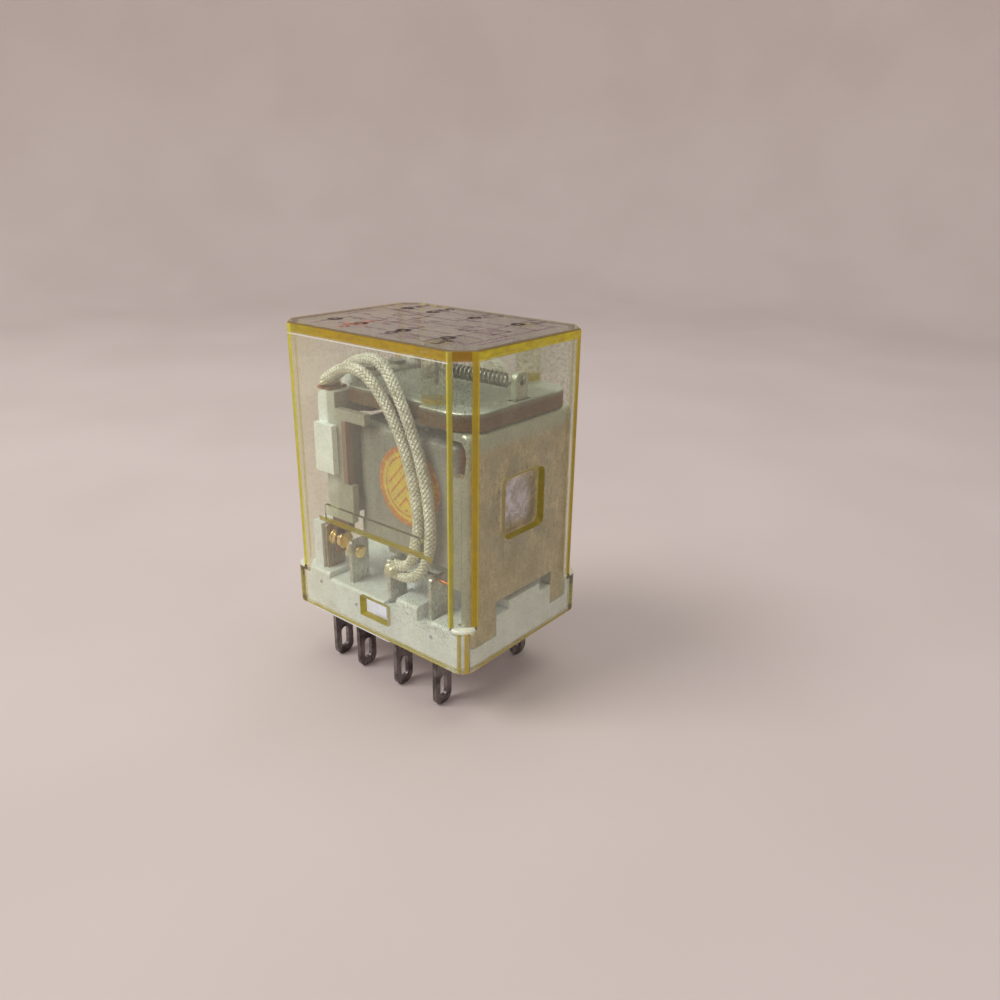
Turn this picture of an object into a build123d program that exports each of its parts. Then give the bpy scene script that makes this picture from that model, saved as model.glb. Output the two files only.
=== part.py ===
from build123d import *
import os
from math import pi, radians, sqrt, tan

# A plug-in control relay with two changeover poles, built as its separate pieces.
# Millimetres. +Z is up and the origin is the centre of the seating plane under the base.
# +X is the yoke end, -X the contact end. "near" is the -Y side and "far" the +Y side.

# ---- cover ---------------------------------------------------------------------------
BODY_LENGTH = 27.5
BODY_WIDTH = 20.8
COVER_BOTTOM = 1.2
COVER_TOP = 35.2
WALL = 1.0
CORNER_CHAMFER = 2.0
PAD_TOP = 6.3
PAD_RADIUS = 1.5
WINDOW_LENGTH = 4.5
WINDOW_HEIGHT = 2.4
WINDOW_X = 0.15
WINDOW_Z = 4.2
REAR_HOLE_WIDTH = 6.7
REAR_HOLE_HEIGHT = 6.8
REAR_HOLE_Y = -0.65
REAR_HOLE_Z = 18.0
RIB_START_X = -7.9
RIB_END_X = 7.3
RIB_BOTTOM = 13.0
RIB_HEIGHT = 1.9
RIB_DEPTH = 0.45
PEG_X = 7.4
PEG_Y = 7.0
PEG_RADIUS = 1.4
PEG_BOTTOM = 29.1

# ---- base and blades -----------------------------------------------------------------
FIT_GAP = 0.1
FLOOR_Z = 5.0
BASE_TOP = 5.8
POST_BLOCK_TOP = 6.1
MIDDLE_BLOCK_TOP = 5.45
COMMON_BLOCK_TOP = 6.6
REAR_BLOCK_TOP = 5.6
LIP_START_X = -12.4
LIP_END_X = 1.5
BLADE_THICKNESS = 0.5
BLADE_WIDTH = 2.6
BLADE_LENGTH = 6.4
BLADE_HOLE_WIDTH = 1.1
BLADE_HOLE_LENGTH = 2.7
BLADE_HOLE_Z = -4.1
ROW_Y = 7.0
NC_X = -9.44
NO_X = -5.19
COM_X = 1.14
COIL_PIN_X = 7.41
NC_TOP = 11.6
NO_TOP = 10.6
COM_TOP = 10.3
COIL_PIN_TOP = 9.9
HEAD_Z = 7.2
NO_HEAD_Z = 5.5

# ---- magnet --------------------------------------------------------------------------
COIL_X = 2.65
COIL_LENGTH = 16.7
COIL_WIDTH = 13.8
COIL_CORNER = 2.6
TAPE_THICKNESS = 0.3
TAPE_BOTTOM = 11.1
TAPE_TOP = 25.0
CORE_RADIUS = 3.4
POLE_RADIUS = 4.6
POLE_TOP = 26.23
YOKE_THICKNESS = 1.4
YOKE_INNER_X = 11.2
YOKE_HALF_WIDTH = 8.3
YOKE_BOTTOM = 3.4
YOKE_TOP = 26.8
FOOT_BOTTOM = 9.3
FOOT_TOP = 10.7
NOTCH_Y = 0.4
NOTCH_HALF_WIDTH = 5.0

# ---- armature and card ---------------------------------------------------------------
ARMATURE_BOTTOM = 26.9
ARMATURE_THICKNESS = 1.9
ARMATURE_HALF_WIDTH = 7.0
ARMATURE_REAR_HALF_WIDTH = 8.2
ARMATURE_STEP_X = 6.2
ARMATURE_REAR_X = 12.5
ARMATURE_FRONT_X = -6.1
TONGUE_HALF_WIDTH = 3.6
TONGUE_FRONT_X = -8.9
SPRING_Z = 30.5
CARD_HALF_WIDTH = 8.2
CARD_TOP = 27.9
CARD_BOTTOM = 13.2
LEG_FRONT_X = -8.45
LEG_REAR_X = -6.6
MOVING_SPRING_X = -7.85
MOVING_SPRING_Y = 6.95
MOVING_SPRING_WIDTH = 2.1
MOVING_SPRING_THICKNESS = 0.3
CONTACT_Y = 7.1
MOVING_CONTACT_Z = 9.9
NO_CONTACT_Z = 9.1
CONTACT_RADIUS = 1.05

# ---- flexible leads ------------------------------------------------------------------
BRAID_DIAMETER = 1.1

SIDES = (("near", -1), ("far", 1))

os.makedirs("parts", exist_ok=True)


def save(part, label):
    part.label = label
    export_step(part, f"parts/{label}.step")


def box_between(low, high, mode=Mode.ADD):
    """Add or cut a box given by its lowest and highest corners, inside a part block."""
    size = [h - l for l, h in zip(low, high)]
    centre = [(h + l) / 2 for l, h in zip(low, high)]
    with Locations(tuple(centre)):
        Box(*size, mode=mode)


def side_box(side, x_range, y_range, z_range, mode=Mode.ADD):
    """A box whose y range is measured outwards from the centre plane on one side."""
    y_low, y_high = sorted((side * y_range[0], side * y_range[1]))
    box_between((x_range[0], y_low, z_range[0]), (x_range[1], y_high, z_range[1]), mode)


# ======================================================================================
# Cover: a clear amber shell, open underneath, with chamfered corners and square feet
# ======================================================================================
inner_length = BODY_LENGTH - 2 * WALL
inner_width = BODY_WIDTH - 2 * WALL
inner_chamfer = CORNER_CHAMFER - WALL * (2 - sqrt(2))
inner_top = COVER_TOP - WALL

with BuildPart() as cover:
    with BuildSketch(Plane.XY.offset(COVER_BOTTOM)):
        Rectangle(BODY_LENGTH, BODY_WIDTH)
        chamfer(vertices(), CORNER_CHAMFER)
    extrude(amount=COVER_TOP - COVER_BOTTOM)
    fillet(cover.edges().group_by(Axis.Z)[-1], 0.25)
    with BuildSketch(Plane.XY.offset(COVER_BOTTOM)):
        Rectangle(BODY_LENGTH, BODY_WIDTH)
        fillet(vertices(), PAD_RADIUS)
    extrude(amount=PAD_TOP - COVER_BOTTOM)
    pad_faces = cover.faces().filter_by(Axis.Z).filter_by(lambda f: abs(f.center().Z - PAD_TOP) < 0.01)
    pad_arcs = pad_faces.edges().filter_by(GeomType.CIRCLE)
    fillet(pad_arcs, 0.4)
    with BuildSketch(Plane.XY.offset(COVER_BOTTOM)):
        Rectangle(inner_length, inner_width)
        chamfer(vertices(), inner_chamfer)
    extrude(amount=inner_top - COVER_BOTTOM, mode=Mode.SUBTRACT)
    with BuildSketch(Plane.XY.offset(COVER_BOTTOM)):
        Rectangle(inner_length, inner_width)
        fillet(vertices(), PAD_RADIUS - WALL + 0.1)
    extrude(amount=PAD_TOP - WALL - COVER_BOTTOM, mode=Mode.SUBTRACT)
    # Latch windows through both long walls.
    with BuildSketch(Plane.XZ) as latch_window:
        with Locations((WINDOW_X, WINDOW_Z)):
            Rectangle(WINDOW_LENGTH, WINDOW_HEIGHT)
    extrude(amount=BODY_WIDTH, both=True, mode=Mode.SUBTRACT)
    # Square opening with rounded corners in the yoke-end wall.
    with BuildSketch(Plane.YZ.offset(inner_length / 2 - 0.5)) as rear_hole:
        with Locations((REAR_HOLE_Y, REAR_HOLE_Z)):
            RectangleRounded(REAR_HOLE_WIDTH, REAR_HOLE_HEIGHT, 0.8)
    extrude(amount=2 * WALL, mode=Mode.SUBTRACT)
    for _, side in SIDES:
        # Stiffening rib inside each long wall, between the leads and the contacts.
        side_box(side, (RIB_START_X, RIB_END_X), (inner_width / 2 - RIB_DEPTH, inner_width / 2 + 0.2),
                 (RIB_BOTTOM, RIB_BOTTOM + RIB_HEIGHT))
    # Two pegs under the roof keep the armature from lifting off its hinge.
    with BuildSketch(Plane.XY.offset(PEG_BOTTOM)):
        with GridLocations(0, 2 * PEG_Y, 1, 2):
            with Locations((PEG_X, 0)):
                Circle(PEG_RADIUS)
    extrude(amount=inner_top + 0.3 - PEG_BOTTOM)
save(cover.part, "cover")

# ======================================================================================
# Base: a moulded block with a pocket for each blade, two contact posts and two latches
# ======================================================================================
base_length = inner_length - 2 * FIT_GAP
base_width = inner_width - 2 * FIT_GAP
# Raised blocks around the blades: x from, x to, height.
block_spans = (
    (-12.5, -8.0, POST_BLOCK_TOP),
    (-8.1, COM_X, MIDDLE_BLOCK_TOP),
    (3.2, 6.4, COMMON_BLOCK_TOP),
    (8.5, 10.9, REAR_BLOCK_TOP),
)
BLOCK_INNER_Y = 4.6
CENTRE_BLOCK_HALF_WIDTH = 2.75
CENTRE_BLOCK_TOP = 6.8
POST_FRONT_X = -11.55
POST_REAR_X = -9.76

with BuildPart() as base:
    with BuildSketch(Plane.XY.offset(COVER_BOTTOM)):
        Rectangle(base_length, base_width)
        fillet(vertices(), PAD_RADIUS - WALL)
    extrude(amount=PAD_TOP - WALL - FIT_GAP - COVER_BOTTOM)
    with BuildSketch(Plane.XY.offset(COVER_BOTTOM)):
        Rectangle(base_length, base_width)
        chamfer(vertices(), inner_chamfer)
    extrude(amount=BASE_TOP - COVER_BOTTOM)
    # Lip under the contact end, which seats on the socket.
    with BuildSketch(Plane.XY):
        with Locations(((LIP_START_X + LIP_END_X) / 2, 0)):
            RectangleRounded(LIP_END_X - LIP_START_X, base_width - 0.2, 0.6)
    extrude(amount=COVER_BOTTOM)
    for _, side in SIDES:
        # One long trough for the blades, then the blocks that divide it into pockets.
        side_box(side, (-12.7, 10.9), (BLOCK_INNER_Y, base_width / 2 + 0.1), (FLOOR_Z, BASE_TOP),
                 Mode.SUBTRACT)
        for x_from, x_to, top in block_spans:
            with BuildSketch(Plane.YZ.offset(x_from)):
                with Locations((side * (BLOCK_INNER_Y + base_width / 2) / 2, (FLOOR_Z + top) / 2)):
                    Rectangle(base_width / 2 - BLOCK_INNER_Y, top - FLOOR_Z)
                fillet(vertices().group_by(Axis.Y)[-1].sort_by(Axis.X)[-1 if side > 0 else 0], 0.4)
            extrude(amount=x_to - x_from)
        # Contact post outside the normally closed blade.
        with BuildSketch(Plane.XY.offset(POST_BLOCK_TOP - 0.2)):
            with Locations(((POST_FRONT_X + POST_REAR_X) / 2, side * 7.25)):
                Rectangle(POST_REAR_X - POST_FRONT_X, 2.7)
            fillet(vertices().group_by(Axis.X)[0], 0.6)
        extrude(amount=NC_TOP + 0.1 - POST_BLOCK_TOP + 0.2)
        # Snap latch that stands in the cover's window.
        side_box(side, (-0.9, 1.8), (base_width / 2 - 0.5, base_width / 2 + 0.7), (3.8, 5.1))
        # Pocket for the yoke's leg.
        leg_inner_y = NOTCH_HALF_WIDTH + side * NOTCH_Y
        side_box(side, (11.0, 13.0), (leg_inner_y - FIT_GAP, YOKE_HALF_WIDTH + FIT_GAP),
                 (YOKE_BOTTOM - 0.05, BASE_TOP + 1), Mode.SUBTRACT)
        with BuildSketch(Plane.XZ.offset(-side * base_width / 2)):
            with Locations((-9.5, 4.5), (-3.4, 3.5), (8.5, 3.7)):
                Circle(0.28)
        extrude(amount=side * 0.3, mode=Mode.SUBTRACT)
    # Above the cover's feet the corners are cut back to the cover's chamfers.
    with BuildSketch(Plane.XY.offset(PAD_TOP - WALL - FIT_GAP)):
        Rectangle(BODY_LENGTH, BODY_WIDTH)
        with BuildSketch(mode=Mode.SUBTRACT):
            Rectangle(base_length, base_width)
            chamfer(vertices(), inner_chamfer)
    extrude(amount=BASE_TOP, mode=Mode.SUBTRACT)
    # Pad under the yoke's foot with a recess for the core's riveted end.
    box_between((-1.5, -4.4, FLOOR_Z), (10.9, 4.4, FOOT_BOTTOM - 0.02))
    with Locations((COIL_X, 0, FOOT_BOTTOM)):
        Cylinder(3.2, 2.4, mode=Mode.SUBTRACT)
    # Block at the yoke end, which stands in the notch of the yoke.
    notch_blocks = ((NOTCH_HALF_WIDTH - FIT_GAP, BASE_TOP), (CENTRE_BLOCK_HALF_WIDTH, CENTRE_BLOCK_TOP))
    for half_width, top in notch_blocks:
        box_between((10.8, NOTCH_Y - half_width, FLOOR_Z), (base_length / 2, NOTCH_Y + half_width, top))
    # Slots for the eight blades.
    with BuildSketch(Plane.XY):
        with Locations(*[(x, s * ROW_Y) for x in (NC_X, NO_X, COM_X, COIL_PIN_X) for s in (-1, 1)]):
            Rectangle(BLADE_THICKNESS + 0.04, BLADE_WIDTH + 0.04)
    extrude(amount=HEAD_Z, mode=Mode.SUBTRACT)
save(base.part, "base")


EAR_Y = 6.9
EAR_LENGTH = 1.8
EAR_THICKNESS = 0.5
CONTACT_HOLE_RADIUS = 0.5


# ======================================================================================
# Blades: flat tin-plated pins with a long soldering hole and a head inside the relay
# ======================================================================================
def blade(x, side, plate_top, head_inner_y, top):
    """One terminal: a straight blade up to plate_top, then a head from head_inner_y outwards."""
    with BuildPart() as terminal:
        with BuildSketch(Plane.YZ.offset(x - BLADE_THICKNESS / 2)):
            with Locations((side * ROW_Y, (plate_top - BLADE_LENGTH) / 2)):
                Rectangle(BLADE_WIDTH, plate_top + BLADE_LENGTH)
            fillet(vertices().group_by(Axis.Y)[0], 1.1)
            outer_y = ROW_Y + BLADE_WIDTH / 2
            with Locations((side * (outer_y + head_inner_y) / 2, (top + plate_top) / 2)):
                Rectangle(outer_y - head_inner_y, top - plate_top + 0.02)
            fillet(vertices().group_by(Axis.Y)[-1], 0.4)
            with Locations((side * ROW_Y, BLADE_HOLE_Z)):
                SlotOverall(BLADE_HOLE_LENGTH, BLADE_HOLE_WIDTH, rotation=90, mode=Mode.SUBTRACT)
        extrude(amount=BLADE_THICKNESS)
        if x == NO_X:
            with Locations((x, side * CONTACT_Y, NO_CONTACT_Z)):
                Cylinder(CONTACT_HOLE_RADIUS, 1.0, rotation=(0, 90, 0), mode=Mode.SUBTRACT)
        if x == COIL_PIN_X:
            # Three-cornered ear that the coil's wire end is soldered to.
            with BuildSketch(Plane.XZ.offset(-side * EAR_Y - EAR_THICKNESS / 2)):
                with BuildLine():
                    Polyline((x, HEAD_Z), (x, top - 0.1), (x - EAR_LENGTH, top - 0.1),
                             (x - EAR_LENGTH, top - 0.6), close=True)
                make_face()
            extrude(amount=EAR_THICKNESS)
    return terminal.part


# Pin numbers follow the usual layout: 1 and 4 closed, 5 and 8 open, 9 and 12 common, 13 and 14 coil.
# Each row gives the label, x, side, where the head starts, its inner edge and its top.
straight_inner_y = ROW_Y - BLADE_WIDTH / 2
blade_plan = (
    ("terminal_1_nc", NC_X, -1, HEAD_Z, straight_inner_y, NC_TOP),
    ("terminal_4_nc", NC_X, 1, HEAD_Z, straight_inner_y, NC_TOP),
    ("terminal_5_no", NO_X, -1, NO_HEAD_Z, straight_inner_y, NO_TOP),
    ("terminal_8_no", NO_X, 1, NO_HEAD_Z, straight_inner_y, NO_TOP),
    ("terminal_9_common", COM_X, -1, 9.2, straight_inner_y, COM_TOP),
    ("terminal_12_common", COM_X, 1, 9.2, straight_inner_y, COM_TOP),
    ("terminal_13_coil", COIL_PIN_X, -1, HEAD_Z, straight_inner_y, COIL_PIN_TOP),
    ("terminal_14_coil", COIL_PIN_X, 1, HEAD_Z, straight_inner_y, COIL_PIN_TOP),
)
for label, x, side, plate_top, head_inner_y, top in blade_plan:
    save(blade(x, side, plate_top, head_inner_y, top), label)


# ======================================================================================
# Contacts: domed rivets facing each other along X
# ======================================================================================
def contact_button(x_from, x_to, y, z):
    """A button standing on a plate's face at x_from, with its rim rounded at x_to."""
    with BuildPart() as button:
        with BuildSketch(Plane.YZ.offset(min(x_from, x_to))):
            with Locations((y, z)):
                Circle(CONTACT_RADIUS)
        extrude(amount=abs(x_to - x_from))
        crown = Axis.X if x_to > x_from else Axis((0, 0, 0), (-1, 0, 0))
        fillet(button.edges().sort_by(crown)[-1], 0.15)
    return button.part


def riveted_contact(front_x, back_x, face_x, y, z):
    """A contact riveted through its blade: a button in front, a shank and a domed tail behind."""
    shank_radius = 0.45
    tail_radius = 0.8
    tail_depth = 0.45
    with BuildPart() as fixed_contact:
        add(contact_button(front_x, face_x, y, z))
        with Locations(((front_x + back_x) / 2, y, z)):
            Cylinder(shank_radius, back_x - front_x + 0.1, rotation=(0, 90, 0))
        with Locations((back_x + tail_depth / 2, y, z)):
            Cylinder(tail_radius, tail_depth, rotation=(0, 90, 0))
        fillet(fixed_contact.edges().filter_by(GeomType.CIRCLE).sort_by(Axis.X)[-1], 0.3)
    return fixed_contact.part


NC_FACE_X = -8.75
NO_FACE_X = -6.22
MOVING_REAR_X = -8.67
MOVING_FRONT_X = -7.13
PLATE_GAP = 0.01

for name, side in SIDES:
    y = side * CONTACT_Y
    save(contact_button(NC_X + BLADE_THICKNESS / 2 + PLATE_GAP, NC_FACE_X, y, MOVING_CONTACT_Z),
         f"contact_nc_{name}")
    save(riveted_contact(NO_X - BLADE_THICKNESS / 2 - PLATE_GAP, NO_X + BLADE_THICKNESS / 2 + PLATE_GAP,
                         NO_FACE_X, y, NO_CONTACT_Z), f"contact_no_{name}")

    with BuildPart() as moving_contact:
        with Locations((MOVING_SPRING_X, y, MOVING_CONTACT_Z)):
            Cylinder(0.5, MOVING_FRONT_X - MOVING_REAR_X - 0.3, rotation=(0, 90, 0))
        for face_x, direction in ((MOVING_FRONT_X, 1), (MOVING_REAR_X, -1)):
            inner_x = MOVING_SPRING_X + direction * (MOVING_SPRING_THICKNESS / 2 + PLATE_GAP)
            with Locations(((inner_x + face_x) / 2, y, MOVING_CONTACT_Z)):
                Cylinder(CONTACT_RADIUS, abs(face_x - inner_x), rotation=(0, 90, 0))
        rims = moving_contact.edges().filter_by(GeomType.CIRCLE).sort_by(Axis.X)
        fillet([rims[0], rims[-1]], 0.15)
    save(moving_contact.part, f"moving_contact_{name}")

    # Moving spring: a long strip through the card, with its top bent forward as a tab.
    with BuildPart() as moving_spring:
        strip_low = MOVING_SPRING_Y - MOVING_SPRING_WIDTH / 2
        strip_high = MOVING_SPRING_Y + MOVING_SPRING_WIDTH / 2
        half_thick = MOVING_SPRING_THICKNESS / 2
        tab_top = CARD_TOP + 0.02 + MOVING_SPRING_THICKNESS
        side_box(side, (MOVING_SPRING_X - half_thick, MOVING_SPRING_X + half_thick),
                 (strip_low, strip_high), (8.3, tab_top))
        side_box(side, (-9.6, MOVING_SPRING_X + half_thick), (5.4, strip_high), (CARD_TOP + 0.02, tab_top))
        with Locations((MOVING_SPRING_X, y, MOVING_CONTACT_Z)):
            Cylinder(0.52, 1.0, rotation=(0, 90, 0), mode=Mode.SUBTRACT)
    save(moving_spring.part, f"moving_spring_{name}")

# ======================================================================================
# Magnet: yoke, core with its shading ring, bobbin, winding, tape and the rating label
# ======================================================================================
SPRING_TAB_FRONT_X = 11.3
SPRING_TAB_REAR_X = 11.9
SPRING_TAB_HALF_WIDTH = 1.0
SPRING_TAB_TOP = 31.6
HOOK_HOLE_RADIUS = 0.3
FOOT_FRONT_X = -2.0
FLANGE_FRONT_X = 10.4
FLANGE_INNER_Y = 7.2
NOTCH_TOP = 7.5
FOOT_HALF_WIDTH = 5.2
RIVET_RADIUS = 2.0

with BuildPart() as yoke:
    rear_x = YOKE_INNER_X + YOKE_THICKNESS
    box_between((YOKE_INNER_X, -YOKE_HALF_WIDTH, YOKE_BOTTOM), (rear_x, YOKE_HALF_WIDTH, YOKE_TOP))
    fillet(yoke.edges().filter_by(Axis.Y).group_by(Axis.Z)[-1].sort_by(Axis.X)[-1], 0.9)
    fillet(yoke.edges().filter_by(Axis.Z), 0.45)
    box_between((YOKE_INNER_X - 0.2, NOTCH_Y - NOTCH_HALF_WIDTH, YOKE_BOTTOM),
                (rear_x, NOTCH_Y + NOTCH_HALF_WIDTH, NOTCH_TOP), Mode.SUBTRACT)
    box_between((FOOT_FRONT_X, -FOOT_HALF_WIDTH, FOOT_BOTTOM),
                (YOKE_INNER_X + 0.3, FOOT_HALF_WIDTH, FOOT_TOP))
    for _, side in SIDES:
        # Side flange folded forward, with a round-ended window near the top.
        side_box(side, (FLANGE_FRONT_X, YOKE_INNER_X + 0.3), (FLANGE_INNER_Y, YOKE_HALF_WIDTH),
                 (9.8, YOKE_TOP))
        with BuildSketch(Plane.XZ.offset(-side * YOKE_HALF_WIDTH)):
            with BuildLine():
                Polyline((FLANGE_FRONT_X - 1, 22.3), (11.9, 22.3), (12.15, 24.4), (12.0, 25.4),
                         (11.5, 26.0), (FLANGE_FRONT_X - 1, 26.0), close=True)
            make_face()
        extrude(amount=side * (YOKE_HALF_WIDTH - FLANGE_INNER_Y), mode=Mode.SUBTRACT)
    # Tab that carries the return spring's rear hook.
    box_between((SPRING_TAB_FRONT_X, -SPRING_TAB_HALF_WIDTH, YOKE_TOP - 0.5),
                (SPRING_TAB_REAR_X, SPRING_TAB_HALF_WIDTH, SPRING_TAB_TOP))
    fillet(yoke.edges().filter_by(Axis.X).group_by(Axis.Z)[-1], 0.7)
    with Locations((SPRING_TAB_REAR_X, 0, SPRING_Z)):
        Cylinder(HOOK_HOLE_RADIUS, 2.0, rotation=(0, 90, 0), mode=Mode.SUBTRACT)
    with Locations((COIL_X, 0, FOOT_TOP)):
        Cylinder(RIVET_RADIUS + 0.03, 4.0, mode=Mode.SUBTRACT)
save(yoke.part, "yoke")

RING_OUTER = 3.5
RING_WIDTH = 0.9
RING_DEPTH = 0.6
RING_FLAT_X = COIL_X + 0.6


def shading_ring_profile(grow):
    """A D-shaped loop on the pole face, its flat side across the middle."""
    with BuildSketch(Plane.XY.offset(POLE_TOP - RING_DEPTH)) as profile:
        with Locations((COIL_X, 0)):
            Circle(RING_OUTER + grow)
        with Locations((RING_FLAT_X - grow - 10, 0)):
            Rectangle(20, 20, mode=Mode.SUBTRACT)
        with BuildSketch(mode=Mode.SUBTRACT):
            with Locations((COIL_X, 0)):
                Circle(RING_OUTER - RING_WIDTH - grow)
            with Locations((RING_FLAT_X + RING_WIDTH + grow - 10, 0)):
                Rectangle(20, 20, mode=Mode.SUBTRACT)
    return profile.sketch


with BuildPart() as core:
    with BuildSketch(Plane.XY.offset(FOOT_BOTTOM - 0.9)):
        with Locations((COIL_X, 0)):
            Circle(2.9)
    extrude(amount=0.88)
    with BuildSketch(Plane.XY.offset(FOOT_BOTTOM - 0.5)):
        with Locations((COIL_X, 0)):
            Circle(RIVET_RADIUS)
    extrude(amount=2.5)
    with BuildSketch(Plane.XY.offset(FOOT_TOP + 0.02)):
        with Locations((COIL_X, 0)):
            Circle(CORE_RADIUS)
    extrude(amount=TAPE_TOP - FOOT_TOP + 0.1)
    with BuildSketch(Plane.XY.offset(TAPE_TOP + 0.05)):
        with Locations((COIL_X, 0)):
            Circle(POLE_RADIUS)
    extrude(amount=POLE_TOP - TAPE_TOP - 0.05)
    chamfer(core.edges().group_by(Axis.Z)[-1], 0.15)
    add(shading_ring_profile(0.02))
    extrude(amount=RING_DEPTH, mode=Mode.SUBTRACT)
save(core.part, "core")

with BuildPart() as shading_ring:
    add(shading_ring_profile(0))
    extrude(amount=RING_DEPTH - 0.05)
save(shading_ring.part, "shading_ring")

FLANGE_LENGTH = COIL_LENGTH - 2 * TAPE_THICKNESS - 0.1
FLANGE_WIDTH = COIL_WIDTH - 2 * TAPE_THICKNESS - 0.1
FLANGE_CORNER = COIL_CORNER - TAPE_THICKNESS
FLANGE_THICKNESS = 0.8
FLANGE_EDGE = 0.7
BOBBIN_BOTTOM = FOOT_TOP + 0.05
BOBBIN_TOP = TAPE_TOP - TAPE_THICKNESS - 0.05
TUBE_RADIUS = 4.4
with BuildPart() as bobbin:
    for flange_z in (BOBBIN_BOTTOM, BOBBIN_TOP - FLANGE_THICKNESS):
        with BuildSketch(Plane.XY.offset(flange_z)):
            with Locations((COIL_X, 0)):
                RectangleRounded(FLANGE_LENGTH - 0.6, FLANGE_WIDTH - 0.6, FLANGE_CORNER)
        extrude(amount=FLANGE_THICKNESS)
    with BuildSketch(Plane.XY.offset(BOBBIN_BOTTOM)):
        with Locations((COIL_X, 0)):
            Circle(TUBE_RADIUS)
    extrude(amount=BOBBIN_TOP - BOBBIN_BOTTOM)
    with Locations((COIL_X, 0, (BOBBIN_BOTTOM + BOBBIN_TOP) / 2)):
        Cylinder(CORE_RADIUS + 0.03, BOBBIN_TOP - BOBBIN_BOTTOM + 2, mode=Mode.SUBTRACT)
save(bobbin.part, "bobbin")

WINDING_BOTTOM = BOBBIN_BOTTOM + FLANGE_THICKNESS + 0.02
WINDING_TOP = BOBBIN_TOP - FLANGE_THICKNESS - 0.02
with BuildPart() as winding:
    with BuildSketch(Plane.XY.offset(WINDING_BOTTOM)):
        with Locations((COIL_X, 0)):
            RectangleRounded(FLANGE_LENGTH - 0.6, FLANGE_WIDTH - 0.6, FLANGE_CORNER)
            Circle(TUBE_RADIUS + 0.03, mode=Mode.SUBTRACT)
    extrude(amount=WINDING_TOP - WINDING_BOTTOM)
save(winding.part, "coil_winding")

with BuildPart() as tape:
    with BuildSketch(Plane.XY.offset(TAPE_BOTTOM)):
        with Locations((COIL_X, 0)):
            RectangleRounded(COIL_LENGTH, COIL_WIDTH, COIL_CORNER)
    extrude(amount=TAPE_TOP - TAPE_BOTTOM)
    fillet(tape.edges().group_by(Axis.Z)[-1], FLANGE_EDGE + TAPE_THICKNESS)
    with BuildSketch(Plane.XY.offset(TAPE_BOTTOM)) as tape_inside:
        with Locations((COIL_X, 0)):
            RectangleRounded(FLANGE_LENGTH - 0.5, FLANGE_WIDTH - 0.5, FLANGE_CORNER)
    extrude(amount=TAPE_TOP - TAPE_THICKNESS - TAPE_BOTTOM, mode=Mode.SUBTRACT)
    with Locations((COIL_X, 0, TAPE_TOP)):
        Cylinder(CORE_RADIUS + 0.4, 2.0, mode=Mode.SUBTRACT)
save(tape.part, "coil_tape")

LABEL_RADIUS = 4.5
with BuildPart() as label_disc:
    with BuildSketch(Plane.XZ.offset(COIL_WIDTH / 2 + 0.01)):
        with Locations((3.3, 19.05)):
            Circle(LABEL_RADIUS)
    extrude(amount=0.08)
save(label_disc.part, "coil_label")

# ======================================================================================
# Armature and its moulded card
# ======================================================================================
armature_top = ARMATURE_BOTTOM + ARMATURE_THICKNESS
RIVET_X = -7.5
CARD_RIVET_Y = 2.2
POST_X = 0.0
with BuildPart() as armature:
    with BuildSketch(Plane.XY.offset(ARMATURE_BOTTOM)):
        plate_centre = (ARMATURE_REAR_X + ARMATURE_FRONT_X) / 2
        with Locations((plate_centre, 0)):
            Rectangle(ARMATURE_REAR_X - ARMATURE_FRONT_X, 2 * ARMATURE_HALF_WIDTH)
        chamfer(vertices().group_by(Axis.X)[0], 0.6)
        with Locations(((ARMATURE_REAR_X + ARMATURE_STEP_X) / 2, 0)):
            Rectangle(ARMATURE_REAR_X - ARMATURE_STEP_X, 2 * ARMATURE_REAR_HALF_WIDTH)
        fillet(vertices().group_by(Axis.X)[-1], 2.4)
        tongue_centre = (TONGUE_FRONT_X + ARMATURE_FRONT_X + 1) / 2
        with Locations((tongue_centre, 0)):
            Rectangle(ARMATURE_FRONT_X + 1 - TONGUE_FRONT_X, 2 * TONGUE_HALF_WIDTH)
        # Slot for the yoke's spring tab, and the holes for the card's rivets.
        with Locations(((SPRING_TAB_FRONT_X + SPRING_TAB_REAR_X) / 2, 0)):
            Rectangle(1.0, 2.6, mode=Mode.SUBTRACT)
        with Locations((RIVET_X, -CARD_RIVET_Y), (RIVET_X, CARD_RIVET_Y)):
            Circle(0.63, mode=Mode.SUBTRACT)
    extrude(amount=ARMATURE_THICKNESS)
    fillet(armature.faces().sort_by(Axis.Z)[-1].outer_wire().edges(), 0.3)
    # Post that carries the return spring's front hook.
    box_between((POST_X - 0.3, -0.9, armature_top - 0.3), (POST_X + 0.3, 0.9, SPRING_TAB_TOP))
    fillet(armature.edges().filter_by(Axis.X).group_by(Axis.Z)[-1], 0.6)
    with Locations((POST_X, 0, SPRING_Z)):
        Cylinder(HOOK_HOLE_RADIUS, 2.0, rotation=(0, 90, 0), mode=Mode.SUBTRACT)
save(armature.part, "armature")

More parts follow.
